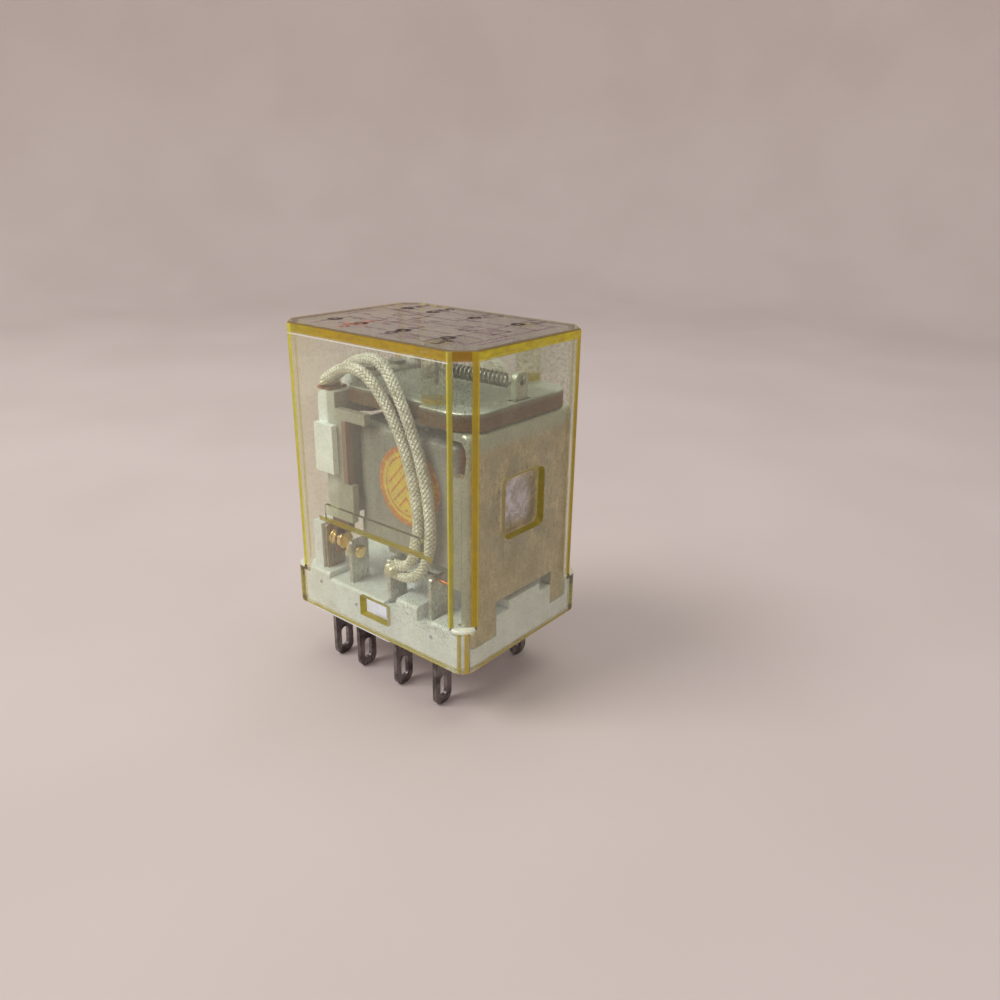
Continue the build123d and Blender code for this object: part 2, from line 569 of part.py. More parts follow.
CARD_FRONT_X = -9.4
HEAD_TOP = 29.5
HEAD_BOTTOM = 25.2
CHEEK_INNER_Y = 7.35
PASSAGE_DEPTH = MOVING_SPRING_THICKNESS + 0.04
PASSAGE_WIDTH = MOVING_SPRING_WIDTH + 0.04
with BuildPart() as card:
    # Cross plate with two legs.
    box_between((LEG_FRONT_X, -CARD_HALF_WIDTH, CARD_BOTTOM), (LEG_REAR_X, CARD_HALF_WIDTH, CARD_TOP))
    # Front bar with rounded ends.
    box_between((CARD_FRONT_X, -CARD_HALF_WIDTH, 24.3), (LEG_FRONT_X + 0.5, CARD_HALF_WIDTH, CARD_TOP))
    fillet(card.edges().filter_by(Axis.Y).group_by(Axis.X)[0].sort_by(Axis.Z)[-1], 0.9)
    # The middle is open below the head, which is moulded over the armature's tongue.
    box_between((CARD_FRONT_X - 1, -4.6, CARD_BOTTOM - 1), (-5, 4.6, HEAD_BOTTOM), Mode.SUBTRACT)
    box_between((CARD_FRONT_X, -4.6, HEAD_BOTTOM), (-6.3, 4.6, HEAD_TOP))
    fillet(card.edges().filter_by(Axis.Y).group_by(Axis.Z)[-1], 0.5)
    for _, side in SIDES:
        # Leg cheek outside the coil, wider at the bottom, and the bright lug at the front.
        side_box(side, (LEG_FRONT_X, -5.05), (CHEEK_INNER_Y, CARD_HALF_WIDTH), (CARD_BOTTOM, 25.3))
        side_box(side, (LEG_FRONT_X, -4.3), (CHEEK_INNER_Y, CARD_HALF_WIDTH), (CARD_BOTTOM, 17.6))
        side_box(side, (-9.4, -6.4), (6.5, 9.0), (18.7, 24.3))
        # Arm reaching back beside the coil.
        side_box(side, (LEG_FRONT_X, -1.9), (CHEEK_INNER_Y, 8.2), (25.0, 26.2))
        # Passage for the moving spring.
        side_box(side, (MOVING_SPRING_X - PASSAGE_DEPTH / 2, MOVING_SPRING_X + PASSAGE_DEPTH / 2),
                 (MOVING_SPRING_Y - PASSAGE_WIDTH / 2, MOVING_SPRING_Y + PASSAGE_WIDTH / 2),
                 (CARD_BOTTOM - 1, CARD_TOP + 1), Mode.SUBTRACT)
    tongue_gap = 0.02
    tongue_side = TONGUE_HALF_WIDTH + tongue_gap
    box_between((TONGUE_FRONT_X - tongue_gap, -tongue_side, ARMATURE_BOTTOM - tongue_gap),
                (0, tongue_side, armature_top + tongue_gap), Mode.SUBTRACT)
    with Locations((RIVET_X, -CARD_RIVET_Y, HEAD_TOP - 2), (RIVET_X, CARD_RIVET_Y, HEAD_TOP - 2)):
        Cylinder(0.63, 8.0, mode=Mode.SUBTRACT)
save(card.part, "card")

with BuildPart() as card_rivets:
    with Locations((RIVET_X, -CARD_RIVET_Y), (RIVET_X, CARD_RIVET_Y)):
        with Locations((0, 0, (HEAD_TOP + HEAD_BOTTOM) / 2)):
            Cylinder(0.6, HEAD_TOP - HEAD_BOTTOM + 0.2)
        with Locations((0, 0, HEAD_TOP + 0.02 + 0.2), (0, 0, HEAD_BOTTOM - 0.02 - 0.2)):
            Cylinder(1.1, 0.4)
save(card_rivets.part, "card_rivets")

for name, side in SIDES:
    # Dark insulating clamp that backs the moving spring under the card's leg.
    with BuildPart() as clamp:
        clamp_front_x = MOVING_SPRING_X + PASSAGE_DEPTH / 2
        side_box(side, (clamp_front_x, LEG_REAR_X), (5.7, CARD_HALF_WIDTH), (11.9, CARD_BOTTOM - 0.02))
        side_box(side, (clamp_front_x, -5.0), (CHEEK_INNER_Y, CARD_HALF_WIDTH), (11.9, CARD_BOTTOM - 0.02))
    save(clamp.part, f"spring_clamp_{name}")

# ======================================================================================
# Return spring: the close-wound body as a solid rod, with a hook at each end
# ======================================================================================
COIL_SPRING_RADIUS = 0.8
SPRING_WIRE = 0.3
COIL_SPRING_START = 1.6
COIL_SPRING_END = 9.9
with BuildPart() as return_spring:
    with Locations(((COIL_SPRING_START + COIL_SPRING_END) / 2, 0, SPRING_Z)):
        Cylinder(COIL_SPRING_RADIUS, COIL_SPRING_END - COIL_SPRING_START, rotation=(0, 90, 0))
    hook_front_x = POST_X - 0.75
    hook_rear_x = SPRING_TAB_REAR_X + 0.4
    with Locations(((hook_front_x + hook_rear_x) / 2, 0, SPRING_Z)):
        Cylinder(SPRING_WIRE / 2, hook_rear_x - hook_front_x, rotation=(0, 90, 0))
    for hook_x in (hook_front_x, hook_rear_x):
        with Locations((hook_x, 0, SPRING_Z + 0.35)):
            Cylinder(SPRING_WIRE / 2, 1.0)
save(return_spring.part, "return_spring")


# ======================================================================================
# Flexible leads from the moving springs to the common blades, and the coil's wire ends
# ======================================================================================
def tangent_radii(points):
    """The radius at each corner of a route: 0.45 of its shorter run over tan(half turn)."""
    radii = []
    for before, corner, after in zip(points, points[1:], points[2:]):
        run_in = Vector(*corner) - Vector(*before)
        run_out = Vector(*after) - Vector(*corner)
        half_turn = radians(run_in.get_angle(run_out)) / 2
        radii.append(0.45 * min(run_in.length, run_out.length) / tan(half_turn))
    return radii


def flexible_lead(points, diameter, label):
    """A round lead along straight runs joined by tangent arcs."""
    radii = tangent_radii(points)
    with BuildPart() as lead:
        with BuildLine() as route:
            FilletPolyline(*points, radius=radii)
        with BuildSketch(Plane(origin=route.line @ 0, z_dir=route.line % 0)):
            Circle(diameter / 2)
        sweep()
    save(lead.part, label)
    length = route.wire().length
    volume_ratio = lead.part.volume / (pi * diameter**2 / 4 * length)
    print(label, "length", round(length, 2), "volume ratio", round(volume_ratio, 4))
    print("  radii", [round(radius, 1) for radius in radii])


COMMON_FACE_X = COM_X + BLADE_THICKNESS / 2 + 0.02
outer_route = (
    (-9.1, 7.25, 28.85),
    (-7.9, 7.3, 29.55),
    (-6.1, 7.5, 30.5),
    (-4.1, 7.7, 31.0),
    (-2.0, 7.85, 30.7),
    (-0.2, 7.95, 29.5),
    (1.3, 7.97, 27.9),
    (2.6, 7.95, 26.0),
    (3.6, 7.93, 24.1),
    (4.4, 7.95, 22.1),
    (5.05, 7.97, 20.0),
    (5.4, 7.95, 17.8),
    (5.6, 7.93, 15.4),
    (5.3, 7.95, 13.0),
    (4.5, 7.85, 11.0),
    (3.0, 7.7, 9.7),
    (COMMON_FACE_X, 7.7, 9.7),
)
inner_route = (
    (-9.1, 6.05, 28.85),
    (-7.6, 6.1, 29.9),
    (-5.6, 6.2, 31.1),
    (-3.3, 6.45, 31.9),
    (-1.1, 6.8, 32.1),
    (0.8, 7.3, 31.3),
    (2.3, 7.75, 30.0),
    (3.6, 7.95, 28.3),
    (4.6, 7.97, 26.3),
    (5.5, 7.95, 24.3),
    (6.2, 7.93, 22.2),
    (6.8, 7.95, 20.0),
    (7.2, 7.97, 17.7),
    (7.4, 7.95, 15.4),
    (7.15, 7.93, 13.0),
    (6.4, 7.9, 10.9),
    (5.0, 7.8, 9.3),
    (3.2, 7.65, 8.5),
    (COMMON_FACE_X, 7.65, 8.5),
)
for name, side in SIDES:
    for strand, route_points in (("outer", outer_route), ("inner", inner_route)):
        flexible_lead([(x, side * y, z) for x, y, z in route_points], BRAID_DIAMETER,
                      f"braid_{strand}_{name}")

LEAD_DIAMETER = 0.4
coil_face_x = COIL_PIN_X + BLADE_THICKNESS / 2 + 0.02
coil_lead_route = (
    (9.6, 5.9, BOBBIN_BOTTOM - 0.02),
    (9.7, 6.1, 10.0),
    (9.4, 6.6, 9.4),
    (8.6, 6.95, 9.3),
    (coil_face_x, 7.0, 9.5),
)
for name, side in SIDES:
    flexible_lead([(x, side * y, z) for x, y, z in coil_lead_route], LEAD_DIAMETER, f"coil_lead_{name}")
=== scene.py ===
import math
import random
from functools import reduce
import bmesh
import bpy
from mathutils import Matrix, Vector, noise


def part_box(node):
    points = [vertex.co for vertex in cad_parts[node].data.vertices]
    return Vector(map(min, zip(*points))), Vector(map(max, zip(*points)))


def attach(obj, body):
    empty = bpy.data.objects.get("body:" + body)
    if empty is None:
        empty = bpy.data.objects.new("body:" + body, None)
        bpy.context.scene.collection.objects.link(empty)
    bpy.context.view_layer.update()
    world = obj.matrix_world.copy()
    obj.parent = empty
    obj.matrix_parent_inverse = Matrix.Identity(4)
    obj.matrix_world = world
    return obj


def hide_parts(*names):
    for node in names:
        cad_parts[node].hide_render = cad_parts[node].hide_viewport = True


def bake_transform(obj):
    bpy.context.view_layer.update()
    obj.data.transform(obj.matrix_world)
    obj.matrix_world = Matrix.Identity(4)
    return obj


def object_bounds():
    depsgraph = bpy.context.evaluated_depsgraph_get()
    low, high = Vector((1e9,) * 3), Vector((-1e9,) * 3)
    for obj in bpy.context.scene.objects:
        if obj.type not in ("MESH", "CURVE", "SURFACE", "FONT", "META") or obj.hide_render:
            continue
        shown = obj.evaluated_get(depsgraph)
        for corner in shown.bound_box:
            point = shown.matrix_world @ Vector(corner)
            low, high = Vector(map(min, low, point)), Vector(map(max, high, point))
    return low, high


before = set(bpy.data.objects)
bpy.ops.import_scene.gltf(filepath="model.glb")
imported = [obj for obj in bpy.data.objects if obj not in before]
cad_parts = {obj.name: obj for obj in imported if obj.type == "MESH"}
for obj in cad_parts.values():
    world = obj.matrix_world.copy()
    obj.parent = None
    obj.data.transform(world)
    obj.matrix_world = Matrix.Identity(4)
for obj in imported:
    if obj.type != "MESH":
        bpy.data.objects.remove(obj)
cad_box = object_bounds()

MM = 0.001
SIDES = (("near", -1), ("far", 1))
BODY = "relay_body"
ARM = "armature_assembly"

# ---- camera: the viewpoint, in the object's own frame ----
AZIMUTH = math.radians(38.864)
ELEVATION = math.radians(21.184)
ROLL = math.radians(0.935)
CAMERA_PLACE = Vector((63.10, -66.14, 50.00)) * MM
LENS = 29.97


def make_camera():
    """The one camera, turned by its azimuth, elevation and roll."""
    back = Vector((math.sin(AZIMUTH) * math.cos(ELEVATION), -math.cos(AZIMUTH) * math.cos(ELEVATION),
                   math.sin(ELEVATION)))
    right = Vector((math.cos(AZIMUTH), math.sin(AZIMUTH), 0))
    up = back.cross(right)
    rolled_right = right * math.cos(ROLL) + up * math.sin(ROLL)
    rolled_up = up * math.cos(ROLL) - right * math.sin(ROLL)
    data = bpy.data.cameras.new("camera")
    data.lens = LENS
    data.sensor_width = 36.0
    data.clip_start = 0.001
    data.clip_end = 10.0
    camera = bpy.data.objects.new("camera", data)
    rows = [[rolled_right[i], rolled_up[i], back[i]] for i in range(3)]
    camera.matrix_world = Matrix.Translation(CAMERA_PLACE) @ Matrix(rows).to_4x4()
    bpy.context.scene.collection.objects.link(camera)
    bpy.context.scene.camera = camera


# ======================================================================================
# Material building
# ======================================================================================
class Graph:
    """One material's node tree. Patterns are laid out in the object's own frame, in millimetres."""

    def __init__(self, name):
        self.material = bpy.data.materials.new(name)
        self.material.use_nodes = True
        self.tree = self.material.node_tree
        self.tree.nodes.clear()
        self.output = self.tree.nodes.new("ShaderNodeOutputMaterial")
        coordinates = self.tree.nodes.new("ShaderNodeTexCoord")
        scale = self.tree.nodes.new("ShaderNodeVectorMath")
        scale.operation = "SCALE"
        scale.inputs["Scale"].default_value = 1000.0
        self.tree.links.new(coordinates.outputs["Object"], scale.inputs[0])
        self.place = scale.outputs[0]

    def put(self, value, socket):
        """Link a socket, or set a plain number or colour."""
        if isinstance(value, bpy.types.NodeSocket):
            self.tree.links.new(value, socket)
        elif isinstance(value, (tuple, list)) and len(value) == 3 and socket.type == "RGBA":
            socket.default_value = (*value, 1.0)
        else:
            socket.default_value = value

    def node(self, kind, inputs, **settings):
        made = self.tree.nodes.new("ShaderNode" + kind)
        for key, value in settings.items():
            setattr(made, key, value)
        for key, value in inputs.items():
            self.put(value, made.inputs[key])
        return made

    def noise(self, scale, detail=3.0, rough=0.55, stretch=None, distortion=0.0):
        place = self.place if stretch is None else self.stretched(stretch)
        made = self.node("TexNoise", {"Vector": place, "Scale": scale, "Detail": detail,
                                      "Roughness": rough, "Distortion": distortion})
        return made.outputs["Fac"]

    def stretched(self, stretch):
        return self.node("VectorMath", {0: self.place, 1: stretch}, operation="MULTIPLY").outputs[0]

    def spots(self, scale, size, soft=0.1):
        """1 in the middle of scattered spots and 0 between them."""
        cells = self.node("TexVoronoi", {"Vector": self.place, "Scale": scale})
        return self.ramp(cells.outputs["Distance"], size, size + soft, 1.0, 0.0)

    def ramp(self, value, low, high, at_low=0.0, at_high=1.0):
        made = self.node("MapRange", {"Value": value, "From Min": low, "From Max": high,
                                      "To Min": at_low, "To Max": at_high}, interpolation_type="SMOOTHSTEP")
        return made.outputs["Result"]

    def fall(self, value, low, high):
        """1 below low, falling to 0 at high."""
        return self.ramp(value, low, high, 1.0, 0.0)

    def band(self, value, low, high, soft):
        """1 between low and high, falling to 0 just outside."""
        return self.times(self.ramp(value, low - soft, low), self.fall(value, high, high + soft))

    def math(self, operation, first, second=0.0):
        made = self.tree.nodes.new("ShaderNodeMath")
        made.operation = operation
        for socket, value in zip(made.inputs, (first, second)):
            self.put(value, socket)
        return made.outputs[0]

    def times(self, *values):
        """The product of all the values."""
        return reduce(lambda first, second: self.math("MULTIPLY", first, second), values)

    def plus(self, *values):
        """The sum of all the values."""
        return reduce(lambda first, second: self.math("ADD", first, second), values)

    def most(self, *values):
        """The greatest of the values."""
        return reduce(lambda first, second: self.math("MAXIMUM", first, second), values)

    def less(self, first, second):
        """The first value less the second."""
        return self.math("SUBTRACT", first, second)

    def magnitude(self, value):
        """The value without its sign."""
        return self.math("ABSOLUTE", value)

    def hypotenuse(self, first, second):
        """The length of the diagonal of two distances."""
        return self.math("SQRT", self.plus(self.times(first, first), self.times(second, second)))

    def mix(self, factor, first, second):
        made = self.tree.nodes.new("ShaderNodeMix")
        made.data_type = "RGBA"
        self.put(factor, made.inputs["Factor"])
        self.put(first, made.inputs["A"])
        self.put(second, made.inputs["B"])
        return made.outputs["Result"]

    def axes(self):
        """The x, y and z of the shaded point, in millimetres."""
        return self.node("SeparateXYZ", {"Vector": self.place}).outputs

    def facing(self):
        """The x, y and z of the surface's own normal."""
        return self.node("SeparateXYZ", {"Vector": self.node("NewGeometry", {}).outputs["Normal"]}).outputs

    def bump(self, height, strength, distance=0.05):
        made = self.node("Bump", {"Height": height, "Strength": strength, "Distance": distance * MM})
        return made.outputs[0]

    def principled(self, **inputs):
        named = {key.replace("_", " "): value for key, value in inputs.items()}
        shader = self.node("BsdfPrincipled", named)
        self.tree.links.new(shader.outputs[0], self.output.inputs["Surface"])
        return shader


def moulded(name, colour, dirt, rough=0.45, dirt_amount=0.5):
    """Satin moulded plastic with a faint mottle, settled dust and a few dark specks."""
    g = Graph(name)
    cloud = g.ramp(g.noise(0.45, 4.0), 0.4, 0.75)
    grain = g.noise(9.0, 2.0)
    upward = g.ramp(g.facing()["Z"], 0.2, 0.95)
    dust = g.times(g.plus(cloud, g.times(upward, 0.35)), dirt_amount)
    mottled = g.mix(g.ramp(g.noise(1.6, 3.0), 0.35, 0.7), colour, [min(1.0, c * 1.07) for c in colour])
    tone = g.mix(dust, mottled, dirt)
    tone = g.mix(g.times(g.spots(1.3, 0.06, 0.05), 0.55), tone, (0.25, 0.22, 0.18))
    g.principled(Base_Color=tone, Roughness=g.ramp(grain, 0.3, 0.7, rough - 0.08, rough + 0.14),
                 Normal=g.bump(g.plus(grain, g.noise(2.2, 3.0)), 0.25, 0.04))
    return g.material


def card_plastic():
    """White moulded card: the outer lugs are clean and bright white, as is the front of the head; the legs
    and the rest of the head are grey, partly with dust and partly with painted shade.
    """
    g = Graph("card_plastic")
    axes = g.axes()
    lug = g.ramp(g.magnitude(axes["Y"]), 8.22, 8.32)
    lug = g.most(lug, g.times(g.fall(axes["X"], -8.1, -7.7), g.ramp(axes["Z"], 23.9, 24.2)))
    grain = g.noise(9.0, 2.0)
    cloud = g.ramp(g.noise(0.5, 4.0), 0.35, 0.7)
    dust_and_shade = g.mix(cloud, (0.56, 0.58, 0.53), (0.44, 0.44, 0.38))
    # Painted shade: the card darkens towards the coil.
    dust_and_shade = g.mix(g.ramp(axes["X"], -7.2, -6.2, 0.0, 0.5), dust_and_shade, (0.30, 0.27, 0.20))
    # Painted shade: a dark brown upright strip on the leg, where the gap beside the coil lies in shade.
    gap_shade_strip = g.times(g.band(axes["X"], -5.65, -5.0, 0.08), g.band(axes["Z"], 17.7, 24.9, 0.1))
    dust_and_shade = g.mix(g.times(gap_shade_strip, 0.8), dust_and_shade, (0.26, 0.14, 0.09))
    bright = g.mix(cloud, (0.90, 0.96, 0.98), (0.84, 0.91, 0.92))
    tone = g.mix(lug, dust_and_shade, bright)
    tone = g.mix(g.times(g.spots(1.6, 0.06, 0.05), 0.5), tone, (0.22, 0.20, 0.16))
    g.principled(Base_Color=tone, Roughness=g.ramp(grain, 0.3, 0.7, 0.3, 0.5),
                 Normal=g.bump(g.plus(grain, g.noise(2.2, 3.0)), 0.25, 0.04))
    return g.material


def metal(name, colour, tarnish, rough=0.35, tarnish_low=0.42, tarnish_high=0.66, scratch=(1.0, 1.0, 1.0),
          grime=(0.10, 0.08, 0.06), grime_amount=0.35, metallic=1.0):
    """Plated or drawn metal: colour drifting to a tarnish, fine scratches and small dark stains."""
    g = Graph(name)
    drift = g.ramp(g.noise(0.7, 5.0, 0.6), tarnish_low, tarnish_high)
    lines = g.noise(6.0, 4.0, 0.7, stretch=scratch)
    stains = g.times(g.ramp(g.noise(2.4, 5.0, 0.7), 0.56, 0.72), grime_amount)
    tone = g.mix(stains, g.mix(drift, colour, tarnish), grime)
    tone = g.mix(g.times(g.ramp(lines, 0.5, 0.75), 0.25), tone, [min(1.0, c * 1.5) for c in colour])
    roughness = g.plus(g.ramp(lines, 0.3, 0.7, rough - 0.1, rough + 0.12), g.times(drift, 0.18))
    g.principled(Base_Color=tone, Metallic=metallic, Roughness=roughness,
                 Normal=g.bump(g.plus(lines, g.noise(3.0, 3.0)), 0.3, 0.03))
    return g.material


def blade_tin():
    """Tinned blades: dark and tarnished on the pins, cleaner and paler inside the case, where the blades at
    the contact end carry painted shade.
    """
    g = Graph("blade_tin")
    z = g.axes()["Z"]
    inside = g.ramp(z, 3.0, 6.0)
    lines = g.noise(6.0, 4.0, 0.7, stretch=(1.0, 1.0, 0.15))
    drift = g.ramp(g.noise(0.7, 5.0, 0.6), 0.4, 0.65)
    pin = g.mix(drift, (0.30, 0.27, 0.27), (0.11, 0.09, 0.09))
    clean = g.mix(drift, (0.66, 0.66, 0.60), (0.46, 0.45, 0.40))
    # Painted shade: the blades at the contact end are darkened brown.
    clean = g.mix(g.ramp(g.axes()["X"], -9.2, -9.0, 0.65, 0.0), clean, (0.26, 0.17, 0.12))
    tone = g.mix(inside, pin, clean)
    tone = g.mix(g.times(g.ramp(g.noise(2.4, 5.0, 0.7), 0.56, 0.72), 0.4), tone, (0.08, 0.06, 0.05))
    tone = g.mix(g.times(g.ramp(lines, 0.5, 0.75), 0.25), tone, (0.60, 0.57, 0.55))
    g.principled(Base_Color=tone, Metallic=g.ramp(z, 3.0, 6.0, 1.0, 0.6),
                 Roughness=g.ramp(lines, 0.3, 0.7, 0.22, 0.44),
                 Normal=g.bump(g.plus(lines, g.noise(3.0, 3.0)), 0.3, 0.03))
    return g.material


def dusty_steel(name, plate, edge, dust):
    """Zinc-plated sheet: dull faces, brown sheared edges, a painted highlight on the upward faces near the
    yoke-end corners, and dust lying on top.
    """
    g = Graph(name)
    facing = g.facing()
    axes = g.axes()
    broad = g.noise(0.35, 4.0)
    fine = g.noise(5.0, 5.0, 0.7)
    sheared = g.fall(g.magnitude(facing["Z"]), 0.35, 0.75)
    sheared = g.times(sheared, g.ramp(broad, 0.3, 0.55, 0.75, 1.0))
    lying = g.times(g.ramp(facing["Z"], 0.5, 0.95), g.ramp(g.noise(1.2, 5.0, 0.7), 0.35, 0.65, 0.35, 0.95))
    tone = g.mix(g.ramp(broad, 0.35, 0.65), plate, [c * 0.78 for c in plate])
    tone = g.mix(g.times(sheared, g.ramp(axes["Z"], 28.1, 28.55, 1.0, 0.25)), tone, edge)
    # Painted highlight: the upward faces near the yoke-end corners are lightened.
    rear_highlight = g.times(g.ramp(axes["X"], 7.8, 9.6), g.ramp(g.magnitude(axes["Y"]), 4.4, 6.2))
    tone = g.mix(g.times(rear_highlight, g.ramp(facing["Z"], 0.3, 0.8, 0.0, 0.8)), tone, (0.70, 0.74, 0.70))
    tone = g.mix(g.times(g.ramp(fine, 0.55, 0.72), 0.3), tone, [c * 0.5 for c in plate])
    tone = g.mix(g.times(lying, 0.75), tone, dust)
    g.principled(Base_Color=tone, Metallic=g.ramp(lying, 0.2, 0.9, 0.85, 0.25),
                 Roughness=g.ramp(fine, 0.3, 0.7, 0.32, 0.62),
                 Normal=g.bump(g.plus(fine, g.noise(1.5, 4.0)), 0.5, 0.05))
    return g.material


# The middle of the part of the yoke that the cover's square opening leaves bare.
REAR_HOLE_Y, REAR_HOLE_Z = -0.65, 18.0


def yoke_steel():
    """The yoke: mottled brown plate, paler along its top bend as a painted highlight, with small rust marks.

    In front of the cover's square opening it carries a painted bright sheen, with smudges of dust round
    about.
    """
    g = Graph("yoke_steel")
    axes = g.axes()
    z = axes["Z"]
    mottle = g.noise(1.4, 5.0, 0.7, stretch=(1.6, 1.6, 0.7))
    broad = g.noise(0.3, 3.0)
    fine = g.noise(7.0, 4.0, 0.7)
    tone = g.mix(g.ramp(mottle, 0.35, 0.68), (0.62, 0.53, 0.34), (0.84, 0.74, 0.52))
    tone = g.mix(g.ramp(broad, 0.45, 0.7, 0.0, 0.5), tone, (0.58, 0.45, 0.24))
    # Painted highlight: a pale green band along the top bend.
    tone = g.mix(g.ramp(z, 24.2, 25.6, 0.0, 0.75), tone, (0.58, 0.66, 0.57))
    tone = g.mix(g.times(g.spots(2.4, 0.10, 0.12), 0.35), tone, (0.24, 0.19, 0.11))
    tone = g.mix(g.times(g.ramp(g.noise(7.0, 5.0, 0.85), 0.48, 0.66), 0.55), tone, (0.28, 0.23, 0.15))
    side = g.ramp(g.magnitude(g.facing()["Y"]), 0.6, 0.9)
    tone = g.mix(g.times(side, 0.8), tone, (0.48, 0.51, 0.45))

    across = g.magnitude(g.less(axes["Y"], REAR_HOLE_Y))
    upward = g.magnitude(g.less(z, REAR_HOLE_Z))
    from_hole = g.plus(g.most(across, upward), g.times(g.noise(0.6, 4.0), 1.6))
    smudge = g.times(g.fall(from_hole, 4.2, 8.5), g.ramp(g.noise(0.45, 5.0, 0.7), 0.42, 0.62))
    tone = g.mix(g.times(smudge, 0.6), tone, (0.30, 0.29, 0.23))
    # Painted sheen: in front of the square opening the plate is painted bright and bluish.
    bright_sheen = g.times(g.fall(from_hole, 2.4, 4.1), g.ramp(axes["X"], 12.4, 12.5))
    smear = g.ramp(g.noise(0.8, 5.0, 0.7, distortion=1.0), 0.35, 0.65)
    tone = g.mix(g.times(bright_sheen, 0.85), tone, g.mix(smear, (0.74, 0.74, 0.80), (0.40, 0.37, 0.33)))
    rust = g.times(g.ramp(g.noise(1.8, 6.0, 0.75), 0.60, 0.72), 0.6)
    tone = g.mix(g.times(rust, g.less(1.0, g.times(bright_sheen, 0.7))), tone, (0.20, 0.11, 0.06))
    g.principled(Base_Color=tone, Metallic=0.75, Roughness=g.ramp(fine, 0.3, 0.7, 0.35, 0.6),
                 Normal=g.bump(g.plus(fine, mottle), 0.45, 0.04))
    return g.material


def coil_wrap():
    """Adhesive film round the coil: grey, slightly glossy, wrinkled, paler at its foot, with a painted
    highlight along its rounded contact end.

    At the yoke end the dark red wire shows.
    """
    g = Graph("coil_wrap")
    axes = g.axes()
    turns = g.node("TexWave", {"Vector": g.place, "Scale": 1.1, "Distortion": 2.5, "Detail": 2.0},
                   wave_type="BANDS", bands_direction="Z").outputs["Fac"]
    wrinkle = g.noise(0.8, 4.0, 0.6, stretch=(1.0, 1.0, 0.35))
    fine = g.noise(6.0, 3.0)
    tone = g.mix(g.ramp(wrinkle, 0.35, 0.65), (0.23, 0.23, 0.205), (0.31, 0.31, 0.275))
    tone = g.mix(g.times(turns, 0.05), tone, (0.18, 0.15, 0.12))
    tone = g.mix(g.ramp(axes["Z"], 12.0, 18.0, 0.55, 0.0), tone, (0.40, 0.39, 0.34))
    # Painted highlight: the film is paler towards its rounded contact end.
    tone = g.mix(g.ramp(axes["X"], -5.0, -3.6, 0.6, 0.0), tone, (0.40, 0.41, 0.38))
    tone = g.mix(g.ramp(axes["Z"], 11.1, 14.5, 0.35, 0.0), tone, (0.30, 0.29, 0.33))
    bare = g.times(g.ramp(axes["X"], 9.2, 10.2), g.ramp(g.noise(0.9, 3.0), 0.3, 0.6, 0.55, 1.0))
    tone = g.mix(bare, tone, (0.20, 0.04, 0.02))
    g.principled(Base_Color=tone, Roughness=g.ramp(fine, 0.3, 0.7, 0.22, 0.5), Coat_Weight=0.35,
                 Normal=g.bump(g.plus(wrinkle, g.times(turns, 0.1)), 0.4, 0.12))
    return g.material


LABEL_CENTRE = (3.3, 19.05)
LABEL_RADIUS = 4.5


def label_film():
    """Round yellow label with a red rim and a plain pattern of red strokes."""
    g = Graph("label_film")
    axes = g.axes()
    across = g.less(axes["X"], LABEL_CENTRE[0])
    upward = g.less(axes["Z"], LABEL_CENTRE[1])
    out = g.hypotenuse(across, upward)
    rim = g.ramp(out, LABEL_RADIUS - 0.75, LABEL_RADIUS - 0.5)
    inner_ring = g.band(out, 3.3, 3.45, 0.08)
    chevrons = g.plus(g.magnitude(g.plus(across, 0.4)), g.times(upward, 0.9))
    bars = g.math("PINGPONG", chevrons, 0.62)
    strokes = g.times(g.fall(bars, 0.12, 0.2), g.fall(out, 2.9, 3.05))
    worn = g.ramp(g.noise(2.2, 4.0), 0.36, 0.52, 0.35, 1.0)
    red = g.times(g.most(rim, strokes, inner_ring), worn)
    paper = g.mix(g.ramp(g.noise(0.7, 3.0), 0.35, 0.65), (0.78, 0.58, 0.05), (0.66, 0.52, 0.10))
    tone = g.mix(g.times(red, 0.85), paper, (0.58, 0.14, 0.03))
    g.principled(Base_Color=tone, Roughness=g.ramp(g.noise(4.0, 2.0), 0.3, 0.7, 0.25, 0.45), Coat_Weight=0.4,
                 Normal=g.bump(g.noise(1.1, 3.0), 0.35, 0.1))
    return g.material


# The cover's outside: its long and short walls, its roof, its corner chamfers and its thicker corner pads.
WALL_X, WALL_Y, ROOF_Z = 13.75, 10.4, 35.2
WALL_THICKNESS = 1.0
CHAMFER = 2.0
CHAMFER_X, CHAMFER_Y = WALL_X - CHAMFER, WALL_Y - CHAMFER
PAD_TOP = 6.3
PAD_RADIUS = 1.5


